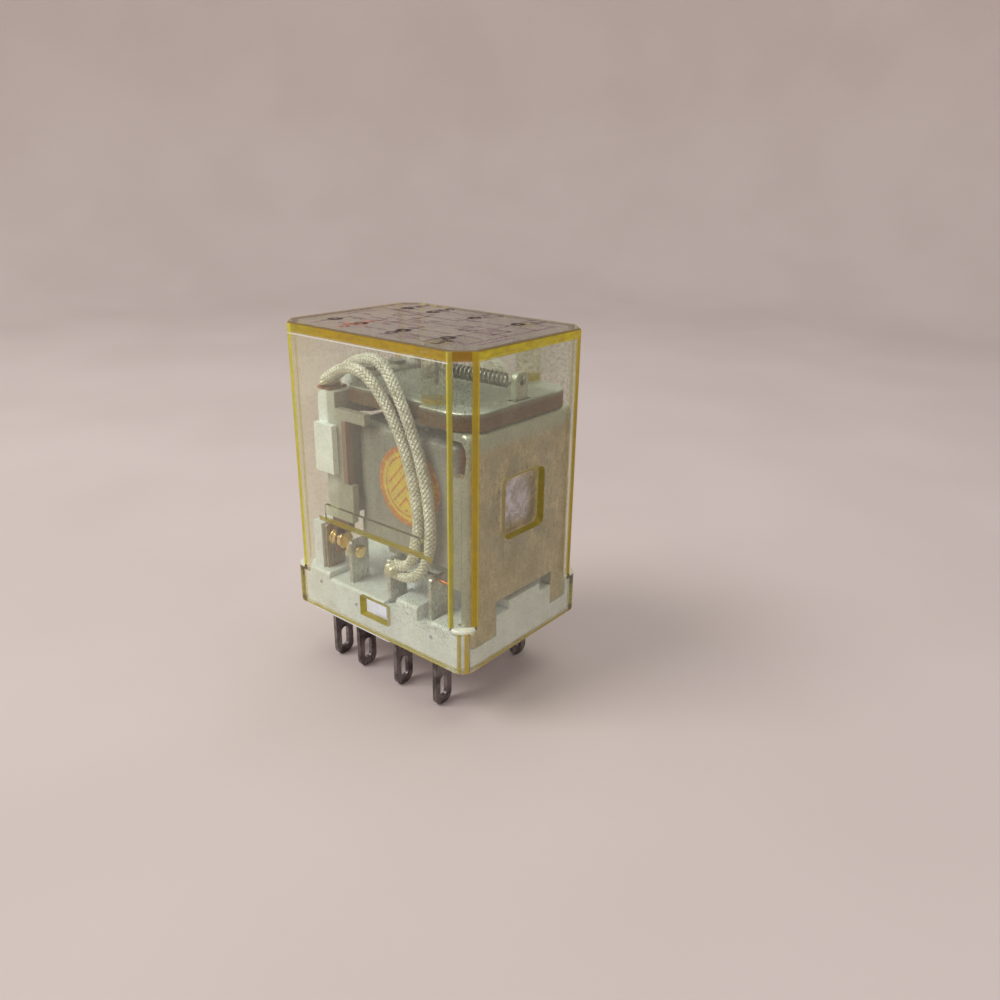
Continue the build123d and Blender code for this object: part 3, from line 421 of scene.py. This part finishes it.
class CoverGraph(Graph):
    """The cover's node tree, with the masks for its walls, edges and dust."""

    def __init__(self, name):
        super().__init__(name)
        self.normal = self.facing()
        axes = self.axes()
        self.x, self.y, self.z = axes["X"], axes["Y"], axes["Z"]
        self.far_x, self.far_y = self.magnitude(self.x), self.magnitude(self.y)
        self.flat_x, self.flat_y, self.flat_z = [self.ramp(self.magnitude(self.normal[axis]), 0.9, 0.97)
                                                 for axis in "XYZ"]
        self.upright = self.less(1.0, self.flat_z)
        self.outer_x = self.times(self.flat_x, self.ramp(self.far_x, WALL_X - 0.2, WALL_X - 0.1))
        self.outer_y = self.times(self.flat_y, self.ramp(self.far_y, WALL_Y - 0.2, WALL_Y - 0.1))

    def corner_edges(self):
        """Above the pads: upright bands beside the chamfers and along both edges of each outer facet.

        They are wider at the contact end and at the far side.
        """
        wander = self.times(self.less(self.noise(0.25, 2.0), 0.5), 0.12)
        across = self.plus(self.far_x, wander)
        on_facet = self.less(1.0, self.most(self.flat_x, self.flat_y, self.flat_z))
        facet_sum = WALL_X + WALL_Y - CHAMFER
        on_facet = self.times(on_facet, self.ramp(self.plus(self.far_x, self.far_y), facet_sum - 0.4,
                                                  facet_sum - 0.3))
        facet_edges = self.plus(self.fall(across, CHAMFER_X + 0.25, CHAMFER_X + 0.33),
                                self.ramp(across, WALL_X - 0.44, WALL_X - 0.36))
        beside = self.most(self.times(self.outer_y, self.ramp(across, CHAMFER_X - 0.25, CHAMFER_X - 0.18)),
                           self.times(self.outer_x, self.ramp(self.far_y, CHAMFER_Y - 0.3, CHAMFER_Y - 0.2)))
        ends = self.most(self.times(self.outer_x, self.ramp(self.y, CHAMFER_Y - 0.9, CHAMFER_Y - 0.6)),
                         self.times(self.outer_y, self.fall(self.x, 0.5 - CHAMFER_X, 0.7 - CHAMFER_X)))
        return self.times(self.most(beside, ends, self.times(on_facet, facet_edges)), self.above_pads())

    def above_pads(self):
        return self.ramp(self.z, PAD_TOP, PAD_TOP + 0.05)

    def pad_edges(self):
        """On the corner pads: two upright stripes each, and the hem along the bottom of the walls."""
        past_x = self.most(self.less(self.far_x, WALL_X - PAD_RADIUS), 0.0)
        past_y = self.most(self.less(self.far_y, WALL_Y - PAD_RADIUS), 0.0)
        outline = self.ramp(self.hypotenuse(past_x, past_y), PAD_RADIUS - 0.2, PAD_RADIUS - 0.1)
        diagonal = self.less(self.far_x, self.far_y)
        stripes = self.plus(self.band(diagonal, 2.4, 2.95, 0.08), self.band(diagonal, 3.5, 4.1, 0.08))
        foot = self.times(self.ramp(self.far_x, 12.0, 12.1), self.ramp(self.far_y, 8.8, 8.9))
        hem = self.times(self.fall(self.z, 1.35, 1.6), 0.5)
        below = self.times(self.less(1.0, self.above_pads()), self.upright)
        return self.times(below, self.most(self.times(stripes, foot, outline), hem))

    def cut_edges(self):
        """The wall's section, where openings cut through it."""
        skin = 0.03
        inner_skin = WALL_THICKNESS - skin
        cut_y = self.times(self.band(self.far_y, WALL_Y - inner_skin, WALL_Y - skin, 0.02),
                           self.fall(self.far_x, 10.9, 11.0))
        cut_x = self.times(self.band(self.far_x, WALL_X - inner_skin, WALL_X - skin, 0.02),
                           self.fall(self.far_y, 7.9, 8.0))
        cut = self.most(cut_y, cut_x)
        toward_y = self.times(self.ramp(self.normal["X"], 0.3, 0.8), cut_y)
        toward_x = self.times(self.fall(self.normal["Y"], -0.8, -0.3), cut_x)
        sill = self.times(self.ramp(self.normal["Z"], 0.3, 0.8), cut)
        cuts = self.plus(self.times(self.most(sill, toward_y, toward_x), 0.85), self.times(cut, 0.08))
        return self.times(cuts, self.fall(self.z, ROOF_Z - 1.1, ROOF_Z - 1.0))

    def moulded_edges(self):
        """The rib inside the long walls, and the tips of the pegs that hang from the roof."""
        inside_x = self.fall(self.far_x, 8.9, 9.0)
        rib = self.times(self.band(self.z, 12.8, 13.25, 0.1),
                         self.band(self.far_y, 8.0, WALL_Y - 0.9, 0.05), inside_x)
        peg_tip = self.times(self.band(self.z, 28.8, 29.6, 0.15), self.fall(self.far_y, 8.9, 9.0), inside_x)
        return self.most(rib, peg_tip)

    def gold(self, corners, rim):
        """The colour of the plastic where it is seen along its length."""
        gold = self.mix(self.ramp(self.noise(0.3, 3.0), 0.35, 0.65), (0.50, 0.38, 0.03), (0.44, 0.39, 0.05))
        gold = self.mix(self.times(rim, self.flat_y), gold, (0.62, 0.40, 0.02))
        gold = self.mix(self.times(rim, self.fall(self.x, -13.0, -4.0)), gold, (0.52, 0.45, 0.05))
        gold = self.mix(self.times(rim, self.flat_x), gold, (0.74, 0.60, 0.03))
        on_facet = self.less(1.0, self.most(self.flat_x, self.flat_y))
        gold = self.mix(self.times(rim, on_facet), gold, (0.46, 0.23, 0.01))
        streak = self.ramp(self.noise(0.9, 3.0, stretch=(1.0, 1.0, 3.5)), 0.35, 0.7, 0.0, 0.45)
        gold = self.mix(streak, gold, (0.36, 0.22, 0.02))
        upright_y = self.times(corners, self.most(self.flat_y, self.fall(self.far_x, 12.2, 12.4)))
        upright_y = self.times(upright_y, self.ramp(self.far_x, 11.6, 11.9, 1.0, 0.5))
        gold = self.mix(upright_y, gold, (0.80, 0.72, 0.10))
        upright_x = self.times(corners, self.ramp(self.far_x, 13.1, 13.2))
        gold = self.mix(self.times(upright_x, 0.85), gold, (0.66, 0.46, 0.02))
        return self.mix(self.ramp(self.z, ROOF_Z - 0.16, ROOF_Z - 0.08), gold, (0.28, 0.19, 0.07))

    def pale_line_and_highlight(self):
        """A pale line along the moulded step under the rim, and a painted highlight on the tops of the corner
        pads.
        """
        step = self.times(self.outer_y, self.band(self.z, ROOF_Z - 1.24, ROOF_Z - 1.14, 0.03))
        pad_top = self.times(self.band(self.z, PAD_TOP - 0.35, PAD_TOP + 0.05, 0.05),
                             self.ramp(self.far_x, 11.85, 11.95), self.ramp(self.far_y, 8.5, 8.6))
        return self.times(self.most(step, pad_top), 0.8)

    def dust(self, scuff):
        """How thick the dust lies, and its colour: thickest high at the yoke end and in a low patch."""
        cloud = self.noise(0.3, 4.0, 0.6)
        speck = self.times(self.spots(3.2, 0.10, 0.10), self.ramp(self.noise(0.8, 3.0), 0.42, 0.6))
        high = self.times(self.ramp(self.x, -6.0, 5.0), self.ramp(self.z, 19.0, 28.0))
        high = self.times(high, self.less(1.0, self.flat_x))
        low = self.times(self.band(self.x, 3.5, 11.5, 1.5), self.band(self.z, 5.5, 11.0, 2.5), self.flat_y)
        low = self.times(low, self.ramp(self.noise(0.5, 4.0), 0.35, 0.6))
        thick = self.most(high, self.times(low, 0.9))
        film = self.times(self.ramp(scuff, 0.46, 0.72), self.plus(0.14, self.times(thick, 0.42)))
        film = self.plus(film, self.ramp(cloud, 0.35, 0.7, 0.03, 0.10))
        film = self.times(film, self.ramp(self.x, -13.0, -3.0, 0.55, 1.0))
        grit = self.ramp(self.noise(0.6, 3.0), 0.40, 0.56, 0.25, 1.0)
        grit = self.times(self.spots(5.5, 0.10, 0.12), grit)
        grit = self.times(grit, self.plus(0.12, self.times(self.flat_x, 0.38)))
        film = self.plus(film, self.times(self.flat_z, 0.14), grit, self.times(speck, 0.25))
        tone = self.mix(self.ramp(scuff, 0.4, 0.7), (0.37, 0.36, 0.32), (0.24, 0.24, 0.21))
        tone = self.mix(self.times(thick, 0.8), tone, (0.17, 0.18, 0.16))
        tone = self.mix(self.ramp(self.x, -13.0, -4.0, 0.8, 0.0), tone, (0.70, 0.50, 0.16))
        tone = self.mix(self.times(self.flat_z, 0.85), tone, (0.18, 0.135, 0.12))
        return film, tone

    def mixed(self, factor, first, second):
        return self.node("MixShader", {0: factor, 1: first.outputs[0], 2: second.outputs[0]})


def clear_amber():
    """Dusty amber polycarbonate: nearly clear through a wall, deep yellow wherever it is seen edge on."""
    g = CoverGraph("clear_amber")
    corners = g.most(g.corner_edges(), g.pad_edges())
    rim = g.times(g.ramp(g.z, ROOF_Z - 1.12, ROOF_Z - 1.0), g.upright)
    edge = g.most(corners, rim, g.cut_edges(), g.moulded_edges())
    gold = g.gold(corners, rim)
    scuff = g.noise(4.0, 6.0, 0.75)
    film, dust_tone = g.dust(scuff)

    normal = g.bump(g.plus(g.noise(0.12, 2.0), g.times(scuff, 0.03)), 0.10, 0.4)
    glass = g.node("BsdfGlass", {"Color": (1.0, 1.0, 1.0), "Roughness": 0.02, "IOR": 1.5, "Normal": normal})
    wall = g.mixed(film, glass, g.node("BsdfDiffuse", {"Color": dust_tone}))
    lit = g.node("BsdfPrincipled", {"Base Color": gold, "Roughness": 0.18})
    glow = g.node("BsdfTranslucent", {"Color": gold})
    share = g.times(edge, g.ramp(g.noise(0.7, 3.0), 0.2, 0.7, 0.95, 0.75))
    wall = g.mixed(share, wall, g.mixed(0.4, lit, glow))
    # A pale line on the step under the rim, and painted highlights on the pad tops.
    pale_tone = g.mix(g.ramp(g.noise(2.0, 3.0), 0.3, 0.7), (0.80, 0.78, 0.58), (0.84, 0.86, 0.80))
    pale = g.node("BsdfPrincipled", {"Base Color": pale_tone, "Roughness": 0.12})
    wall = g.mixed(g.pale_line_and_highlight(), wall, pale)

    # Shadows and bounced light pass straight through, so that the inside is lit.
    through = g.node("BsdfTransparent", {"Color": (0.97, 0.98, 0.97)})
    path = g.node("LightPath", {}).outputs
    passing = g.most(path["Is Shadow Ray"], path["Is Diffuse Ray"])
    surface = g.mixed(passing, wall, through)
    g.tree.links.new(surface.outputs[0], g.output.inputs["Surface"])
    depth = g.node("VolumeAbsorption", {"Color": (0.93, 0.99, 0.50), "Density": 150.0})
    g.tree.links.new(depth.outputs[0], g.output.inputs["Volume"])
    return g.material


def ink():
    """Worn plum pad print, redder at one spot on the near side."""
    g = Graph("ink")
    axes = g.axes()
    tone = g.mix(g.ramp(g.noise(3.0, 5.0, 0.7), 0.4, 0.62), (0.17, 0.09, 0.11), (0.30, 0.19, 0.19))
    warm = g.times(g.band(axes["X"], -6.4, -3.6, 0.6), g.fall(axes["Y"], -4.5, -2.5))
    tone = g.mix(warm, tone, (0.52, 0.18, 0.12))
    g.principled(Base_Color=tone, Roughness=g.ramp(g.noise(5.0, 2.0), 0.3, 0.7, 0.5, 0.7),
                 Alpha=g.ramp(g.noise(2.2, 5.0, 0.75), 0.34, 0.56, 0.12, 0.78),
                 Normal=g.bump(g.noise(8.0, 2.0), 0.3, 0.02))
    return g.material


def floor_paper():
    """Pale matt backing paper."""
    g = Graph("floor_paper")
    tone = g.mix(g.ramp(g.noise(0.02, 2.0), 0.3, 0.7), (0.58, 0.49, 0.455), (0.61, 0.52, 0.485))
    g.principled(Base_Color=tone, Roughness=0.8)
    return g.material


def paint(names, material):
    for name in names:
        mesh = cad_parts[name].data
        mesh.materials.clear()
        mesh.materials.append(material)


# ======================================================================================
# Shapes made in mesh code
# ======================================================================================
def new_piece(name, mesh, material, body):
    made = bpy.data.objects.new(name, mesh)
    bpy.context.scene.collection.objects.link(made)
    made.data.materials.append(material)
    if body is not None:
        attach(made, body)
    return made


def smooth(mesh):
    mesh.polygons.foreach_set("use_smooth", [True] * len(mesh.polygons))
    mesh.update()


def nurbs_line(points, step):
    """Evenly spaced points on the smooth line that the route's points steer."""
    curve = bpy.data.curves.new("route", "CURVE")
    curve.dimensions = "3D"
    spline = curve.splines.new("NURBS")
    spline.points.add(len(points) - 1)
    for point, place in zip(spline.points, points):
        point.co = (*place, 1.0)
    spline.order_u = 3
    spline.use_endpoint_u = True
    spline.resolution_u = 24
    helper = bpy.data.objects.new("route", curve)
    bpy.context.scene.collection.objects.link(helper)
    mesh = helper.to_mesh()
    fine = [vertex.co.copy() for vertex in mesh.vertices]
    helper.to_mesh_clear()
    bpy.data.objects.remove(helper)
    bpy.data.curves.remove(curve)
    return evenly(fine, step)


def evenly(line, step):
    """The same line with its points a fixed step apart."""
    spaced = [line[0].copy()]
    left = step
    for first, second in zip(line, line[1:]):
        run = (second - first).length
        gone = 0.0
        while run - gone >= left:
            gone += left
            spaced.append(first.lerp(second, gone / run))
            left = step
        left -= run - gone
    return spaced


def frames_along(line):
    """For each point of a line, its direction and two cross directions that don't twist."""
    frames = []
    side = None
    for index, point in enumerate(line):
        ahead = line[min(index + 1, len(line) - 1)] - line[max(index - 1, 0)]
        ahead.normalize()
        if side is None:
            side = ahead.orthogonal()
        side = (side - ahead * side.dot(ahead)).normalized()
        frames.append((point, ahead, side, ahead.cross(side)))
    return frames


def tube(bm, line, width, thickness=None, corners=6, outward=None):
    """A closed tube along a line. With outward, the section is an ellipse, flat side facing that way."""
    thickness = width if thickness is None else thickness
    rings = []
    for index, (point, _, side, across) in enumerate(frames_along(line)):
        if outward is not None:
            across = outward[index]
            ahead = line[min(index + 1, len(line) - 1)] - line[max(index - 1, 0)]
            side = across.cross(ahead).normalized()
        ring = []
        for corner in range(corners):
            turn = 2 * math.pi * corner / corners
            offset = side * (math.cos(turn) * width / 2) + across * (math.sin(turn) * thickness / 2)
            ring.append(bm.verts.new(point + offset))
        rings.append(ring)
    for first, second in zip(rings, rings[1:]):
        for corner in range(corners):
            after = (corner + 1) % corners
            bm.faces.new((first[corner], first[after], second[after], second[corner]))
    bm.faces.new(list(reversed(rings[0])))
    bm.faces.new(rings[-1])


def to_mesh(bm, name):
    mesh = bpy.data.meshes.new(name)
    bmesh.ops.recalc_face_normals(bm, faces=bm.faces)
    bm.to_mesh(mesh)
    bm.free()
    smooth(mesh)
    return mesh


def braid_mesh(name, points, radius=0.62 * MM, ends=7, pitch=3.6 * MM):
    """A woven braid: two families of flat strands that wind opposite ways, over and under each other."""
    step = 0.075 * MM
    line = nurbs_line(points, step)
    frames = frames_along(line)
    turn_rate = 2 * math.pi / pitch
    weave = 0.07 * MM
    middle = radius - 0.10 * MM
    bm = bmesh.new()
    for hand in (1, -1):
        for strand in range(ends):
            path = []
            outward = []
            for index, (point, _, side, across) in enumerate(frames):
                length = index * step
                turn = 2 * math.pi * strand / ends + hand * turn_rate * length
                out = side * math.cos(turn) + across * math.sin(turn)
                loose = noise.noise(point * 900 + Vector((strand * 3.1, hand * 5.7, 0))) * 0.03 * MM
                lift = hand * weave * math.cos(ends * turn_rate * length) + loose
                path.append(point + out * (middle + lift))
                outward.append(out)
            tube(bm, path, 0.36 * MM, 0.10 * MM, corners=5, outward=outward)
    tube(bm, evenly(line, 0.3 * MM), 2 * (middle - 0.12 * MM), corners=10)
    return to_mesh(bm, name)


def helix_spring_mesh():
    """Return spring: open-wound wire with a hook at each end through the post and the tab."""
    axis_z = 30.5
    start_x, end_x = 1.6, 9.9
    turns = 14.5
    coil_radius = 0.64
    wire = 0.3
    # Each hook's points: x, and height above the spring's axis.
    front_hook = ((-0.35, 0.75), (-0.62, 0.45), (-0.55, 0.08), (0.0, 0.0), (0.9, 0.05), (1.35, 0.35))
    rear_hook = ((10.2, -0.35), (10.7, -0.05), (11.6, 0.0), (12.15, 0.08), (12.28, 0.45), (12.0, 0.75))
    line = [Vector((x, 0, axis_z + above)) * MM for x, above in front_hook]
    samples = int(turns * 20)
    for index in range(samples + 1):
        share = index / samples
        turn = math.pi / 2 + share * turns * 2 * math.pi
        line.append(Vector((start_x + (end_x - start_x) * share, coil_radius * math.cos(turn),
                            axis_z + coil_radius * math.sin(turn))) * MM)
    line += [Vector((x, 0, axis_z + above)) * MM for x, above in rear_hook]
    bm = bmesh.new()
    tube(bm, line, wire * MM, corners=8)
    return to_mesh(bm, "return_spring_wire")


def blob_mesh(name, centre, size, seed, lumps=0.22):
    """A lump of solder: a rounded drop pushed in and out, flattened where it wets the metal."""
    bm = bmesh.new()
    bmesh.ops.create_icosphere(bm, subdivisions=4, radius=1.0)
    for vertex in bm.verts:
        way = vertex.co.normalized()
        broad = lumps * noise.noise(way * 1.6 + Vector((seed, 0, 0)))
        fine = 0.06 * noise.noise(way * 6 + Vector((0, seed, 0)))
        swell = 1.0 + broad + fine
        vertex.co = Vector([centre[i] * MM + way[i] * swell * size[i] * MM for i in range(3)])
    return to_mesh(bm, name)


# Each digit's strokes, on a grid 2 wide and 4 high.
STROKES = {
    "1": (((0.3, 3.2), (1.1, 4), (1.1, 0)),),
    "2": (((0, 3.4), (0.6, 4), (1.6, 4), (2, 3.3), (0, 0), (2, 0)),),
    "3": (((0, 4), (2, 4), (0.9, 2.4), (1.8, 1.8), (1.8, 0.6), (1, 0), (0, 0.4)),),
    "4": (((1.5, 0), (1.5, 4), (0, 1.2), (2, 1.2)),),
    "5": (((2, 4), (0.2, 4), (0, 2.2), (1.4, 2.4), (2, 1.5), (1.4, 0.2), (0, 0.3)),),
    "8": (((1, 2.2), (0.2, 3), (0.6, 4), (1.4, 4), (1.8, 3), (1, 2.2), (0, 1.1), (0.5, 0), (1.5, 0), (2, 1.1),
           (1, 2.2)),),
    "9": (((0.4, 0), (1.6, 1.2), (2, 3), (1.4, 4), (0.4, 4), (0, 3), (0.5, 2.1), (1.9, 2.5)),),
}


def ribbon(bm, points, width, height):
    """A flat stroke on the roof through points given in millimetres."""
    for first, second in zip(points, points[1:]):
        a = Vector((*first, 0)) * MM
        b = Vector((*second, 0)) * MM
        along = (b - a).normalized()
        side = Vector((-along.y, along.x, 0)) * width / 2
        a = a - along * width * 0.4
        b = b + along * width * 0.4
        corners = [p + Vector((0, 0, height)) for p in (a - side, b - side, b + side, a + side)]
        bm.faces.new([bm.verts.new(c) for c in corners])


def roof_print_mesh(height):
    """A plain wiring diagram with pin numbers: coil, two changeover contacts and eight terminals."""
    bm = bmesh.new()

    def stroke(points, width=0.44):
        ribbon(bm, points, width * MM, height)

    def circle(x, y, radius):
        turns = [2 * math.pi * k / 24 for k in range(25)]
        stroke([(x + radius * math.cos(turn), y + radius * math.sin(turn)) for turn in turns], 0.55)

    def number(text, x, y):
        size = 0.5
        for place, digit in enumerate(text):
            for points in STROKES[digit]:
                stroke([(x + (px + place * 2.9) * size, y + py * size) for px, py in points], 0.52)

    # The terminals, each with a ring and its number, in the places of the blades below.
    terminals = ((-9.4, "1", "4"), (-5.2, "5", "8"), (1.2, "9", "12"), (7.4, "13", "14"))
    for x, near_number, far_number in terminals:
        for side, text in ((-1, near_number), (1, far_number)):
            circle(x, side * 5.6, 0.55)
            number(text, x - 0.5 * len(text), side * 7.8 - 0.9)
    # Two changeover contacts, drawn with their arms at rest.
    for side in (-1, 1):
        stroke([(-9.4, side * 5.1), (-9.4, side * 3.5), (-7.6, side * 3.5)])
        stroke([(-5.2, side * 5.1), (-5.2, side * 1.9), (-7.6, side * 1.9)])
        stroke([(1.2, side * 5.1), (1.2, side * 2.7), (-3.2, side * 2.7)])
        stroke([(-3.2, side * 2.7), (-7.4, side * 3.4)], 0.42)
        stroke([(7.4, side * 5.1), (7.4, side * 1.5)])
    # The coil's box and the dashed link from it to the contact arms.
    stroke([(5.2, -1.5), (9.6, -1.5), (9.6, 1.5), (5.2, 1.5), (5.2, -1.5)], 0.36)
    stroke([(5.2, -1.5), (9.6, 1.5)])
    for dash in range(6):
        stroke([(4.6 - 1.3 * dash, 0), (3.9 - 1.3 * dash, 0)])
    stroke([(-3.2, -2.6), (-3.2, 2.6)])
    # Rows of plain tally marks between the terminals.
    marks = random.Random(5)
    for row_y in (-3.9, -0.9, 0.9, 3.9, 6.9, -6.7):
        along = -11.6
        while along < 10.6:
            length = marks.uniform(0.35, 1.1)
            if marks.random() < 0.62:
                end = (along + length, row_y + marks.uniform(-0.2, 0.2))
                stroke([(along, row_y), end], marks.uniform(0.45, 0.8))
            along += length + marks.uniform(0.5, 0.9)
    # Three short columns of tally marks, and lines along the ends of the roof.
    for row in range(5):
        far_length = 0.825 * ((row * 7) % 5 + 1.5)
        near_length = 0.6 * ((row * 3) % 4 + 1)
        stroke([(-1.6, 8.7 - 0.62 * row), (-1.6 + far_length, 8.7 - 0.62 * row)], 0.26)
        stroke([(3.6, -8.9 + 0.62 * row), (3.6 + near_length, -8.9 + 0.62 * row)], 0.26)
        stroke([(-12.1, -2.0 + 0.9 * row), (-10.9, -2.0 + 0.9 * row)], 0.26)
    stroke([(11.1, -7.4), (11.1, 7.4)])
    stroke([(-12.5, -8.2), (-12.5, 8.2)])
    stroke([(12.0, -6.0), (12.0, -1.2)], 0.5)
    return to_mesh(bm, "roof_print")


# ======================================================================================
# Scene
# ======================================================================================
make_camera()
bpy.context.scene.view_settings.view_transform = "Standard"

cream = moulded("base_plastic", (0.78, 0.83, 0.89), (0.54, 0.54, 0.52), rough=0.42, dirt_amount=0.35)
white = card_plastic()
clamp = moulded("clamp_plastic", (0.14, 0.07, 0.08), (0.22, 0.18, 0.17), rough=0.4, dirt_amount=0.3)
bobbin = moulded("bobbin_plastic", (0.22, 0.11, 0.07), (0.30, 0.25, 0.20), rough=0.4)
blade_metal = blade_tin()
gold = metal("contact_gold", (0.95, 0.72, 0.30), (0.55, 0.36, 0.14), rough=0.2, tarnish_low=0.5,
             tarnish_high=0.8, grime_amount=0.25)
bronze = metal("spring_bronze", (0.50, 0.30, 0.20), (0.16, 0.08, 0.06), rough=0.3, scratch=(1.0, 1.0, 0.12))
braid_metal = metal("braid_tin", (0.86, 0.85, 0.76), (0.66, 0.64, 0.53), rough=0.55,
                    grime=(0.26, 0.24, 0.18), grime_amount=0.45, metallic=0.25)
solder = metal("solder", (0.84, 0.80, 0.64), (0.66, 0.60, 0.44), rough=0.28, grime_amount=0.25, metallic=0.5)
iron = metal("pole_iron", (0.44, 0.42, 0.40), (0.26, 0.20, 0.16), rough=0.35)
copper = metal("ring_copper", (0.80, 0.42, 0.26), (0.36, 0.16, 0.10), rough=0.3)
enamel = metal("wire_enamel", (0.70, 0.22, 0.08), (0.34, 0.09, 0.04), rough=0.25)
spring_wire = metal("spring_wire", (0.36, 0.37, 0.33), (0.22, 0.22, 0.19), rough=0.32, grime_amount=0.2)
steel = dusty_steel("armature_steel", (0.34, 0.35, 0.30), (0.22, 0.13, 0.06), (0.36, 0.39, 0.33))

nodes = sorted(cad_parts)
paint([n for n in nodes if n.startswith("terminal_")], blade_metal)
paint([n for n in nodes if n.startswith(("contact_", "moving_contact"))], gold)
paint([n for n in nodes if n.startswith("moving_spring")], bronze)
paint([n for n in nodes if n.startswith("spring_clamp")], clamp)
paint([n for n in nodes if n.startswith("coil_lead")] + ["coil_winding"], enamel)
paint(["base"], cream)
paint(["card"], white)
paint(["bobbin"], bobbin)
paint(["core"], iron)
paint(["shading_ring"], copper)
paint(["armature", "card_rivets"], steel)
paint(["yoke"], yoke_steel())
paint(["coil_tape"], coil_wrap())
paint(["coil_label"], label_film())
paint(["cover"], clear_amber())

# The braids' routes repeat the CAD leads, from the card's top to the common blade's face.
COMMON_FACE_X = 1.41
OUTER_ROUTE = (
    (-9.1, 7.25, 28.85), (-7.9, 7.3, 29.55), (-6.1, 7.5, 30.5), (-4.1, 7.7, 31.0), (-2.0, 7.85, 30.7),
    (-0.2, 7.95, 29.5), (1.3, 7.97, 27.9), (2.6, 7.95, 26.0), (3.6, 7.93, 24.1), (4.4, 7.95, 22.1),
    (5.05, 7.97, 20.0), (5.4, 7.95, 17.8), (5.6, 7.93, 15.4), (5.3, 7.95, 13.0), (4.5, 7.85, 11.0),
    (3.0, 7.7, 9.7), (COMMON_FACE_X, 7.7, 9.7),
)
INNER_ROUTE = (
    (-9.1, 6.05, 28.85), (-7.6, 6.1, 29.9), (-5.6, 6.2, 31.1), (-3.3, 6.45, 31.9), (-1.1, 6.8, 32.1),
    (0.8, 7.3, 31.3), (2.3, 7.75, 30.0), (3.6, 7.95, 28.3), (4.6, 7.97, 26.3), (5.5, 7.95, 24.3),
    (6.2, 7.93, 22.2), (6.8, 7.95, 20.0), (7.2, 7.97, 17.7), (7.4, 7.95, 15.4), (7.15, 7.93, 13.0),
    (6.4, 7.9, 10.9), (5.0, 7.8, 9.3), (3.2, 7.65, 8.5), (COMMON_FACE_X, 7.65, 8.5),
)
# Each solder joint's place, body, centre, half sizes and seed, for the far side; the near side mirrors it.
SOLDER_JOINTS = (
    ("common", BODY, (1.45, 8.1, 9.1), (0.95, 0.8, 0.95), 3.0),
    ("coil", BODY, (7.1, 6.9, 9.45), (0.7, 0.5, 0.45), 7.0),
    ("tab", ARM, (-8.9, 6.7, 28.6), (0.8, 1.35, 0.5), 11.0),
)
for name, side in SIDES:
    for strand, route in (("outer", OUTER_ROUTE), ("inner", INNER_ROUTE)):
        node = f"braid_{strand}_{name}"
        points = [Vector((x, side * y, z)) * MM for x, y, z in route]
        braid = braid_mesh(node, points)
        woven = new_piece(f"woven_{strand}_{name}", braid, braid_metal, None)
        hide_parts(node)
        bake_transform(woven)
    for place, body, centre, size, seed in SOLDER_JOINTS:
        x, y, z = centre
        drop = blob_mesh(f"solder_{place}", (x, side * y, z), size, seed)
        new_piece(f"solder_{place}_{name}", drop, solder, body)

spring = new_piece("return_spring_helix", helix_spring_mesh(), spring_wire, None)
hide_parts("return_spring")
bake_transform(spring)

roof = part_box("cover")[1][2]
new_piece("roof_print", roof_print_mesh(roof + 0.01 * MM), ink(), BODY)

# ---- floor and light ----
FLOOR_RADIUS = 0.30
SWEEP_RADIUS = 0.12
WALL_HEIGHT = 0.26


def studio_mesh(floor_z):
    """A round floor that sweeps up into a low wall all the way round, so that no edge shows."""
    profile = [(0.0, 0.0), (FLOOR_RADIUS * 0.5, 0.0), (FLOOR_RADIUS, 0.0)]
    for step in range(1, 13):
        turn = math.pi / 2 * step / 12
        profile.append((FLOOR_RADIUS + SWEEP_RADIUS * math.sin(turn), SWEEP_RADIUS * (1 - math.cos(turn))))
    profile.append((FLOOR_RADIUS + SWEEP_RADIUS, WALL_HEIGHT))
    bm = bmesh.new()
    around = 96
    turns = [2 * math.pi * k / around for k in range(around)]
    centre = bm.verts.new((0, 0, floor_z))
    rings = []
    for radius, height in profile[1:]:
        ring = [(radius * math.cos(turn), radius * math.sin(turn), floor_z + height) for turn in turns]
        rings.append([bm.verts.new(place) for place in ring])
    for k in range(around):
        after = (k + 1) % around
        bm.faces.new((centre, rings[0][k], rings[0][after]))
        for inner, outer in zip(rings, rings[1:]):
            bm.faces.new((inner[k], outer[k], outer[after], inner[after]))
    mesh = bpy.data.meshes.new("floor")
    bm.to_mesh(mesh)
    bm.free()
    smooth(mesh)
    return mesh


floor_mesh = studio_mesh(cad_box[0][2])
floor = bpy.data.objects.new("floor", floor_mesh)
bpy.context.scene.collection.objects.link(floor)
floor_mesh.materials.append(floor_paper())


def area_light(name, place, size, power):
    """A square lamp that points at the middle of the object."""
    aim = (0, 0, 0.015)
    data = bpy.data.lights.new(name, "AREA")
    data.energy = power
    data.size = size
    lamp = bpy.data.objects.new(name, data)
    lamp.location = place
    lamp.rotation_euler = (Vector(aim) - Vector(place)).to_track_quat("-Z", "Y").to_euler()
    bpy.context.scene.collection.objects.link(lamp)


area_light("key", (-0.16, -0.26, 0.34), 0.22, 1.15)
area_light("top", (0.02, 0.08, 0.42), 0.30, 0.55)
world = bpy.data.worlds.new("studio")
bpy.context.scene.world = world
world.use_nodes = True
background = world.node_tree.nodes["Background"]
background.inputs["Color"].default_value = (0.93, 0.96, 1.0, 1.0)
background.inputs["Strength"].default_value = 0.42
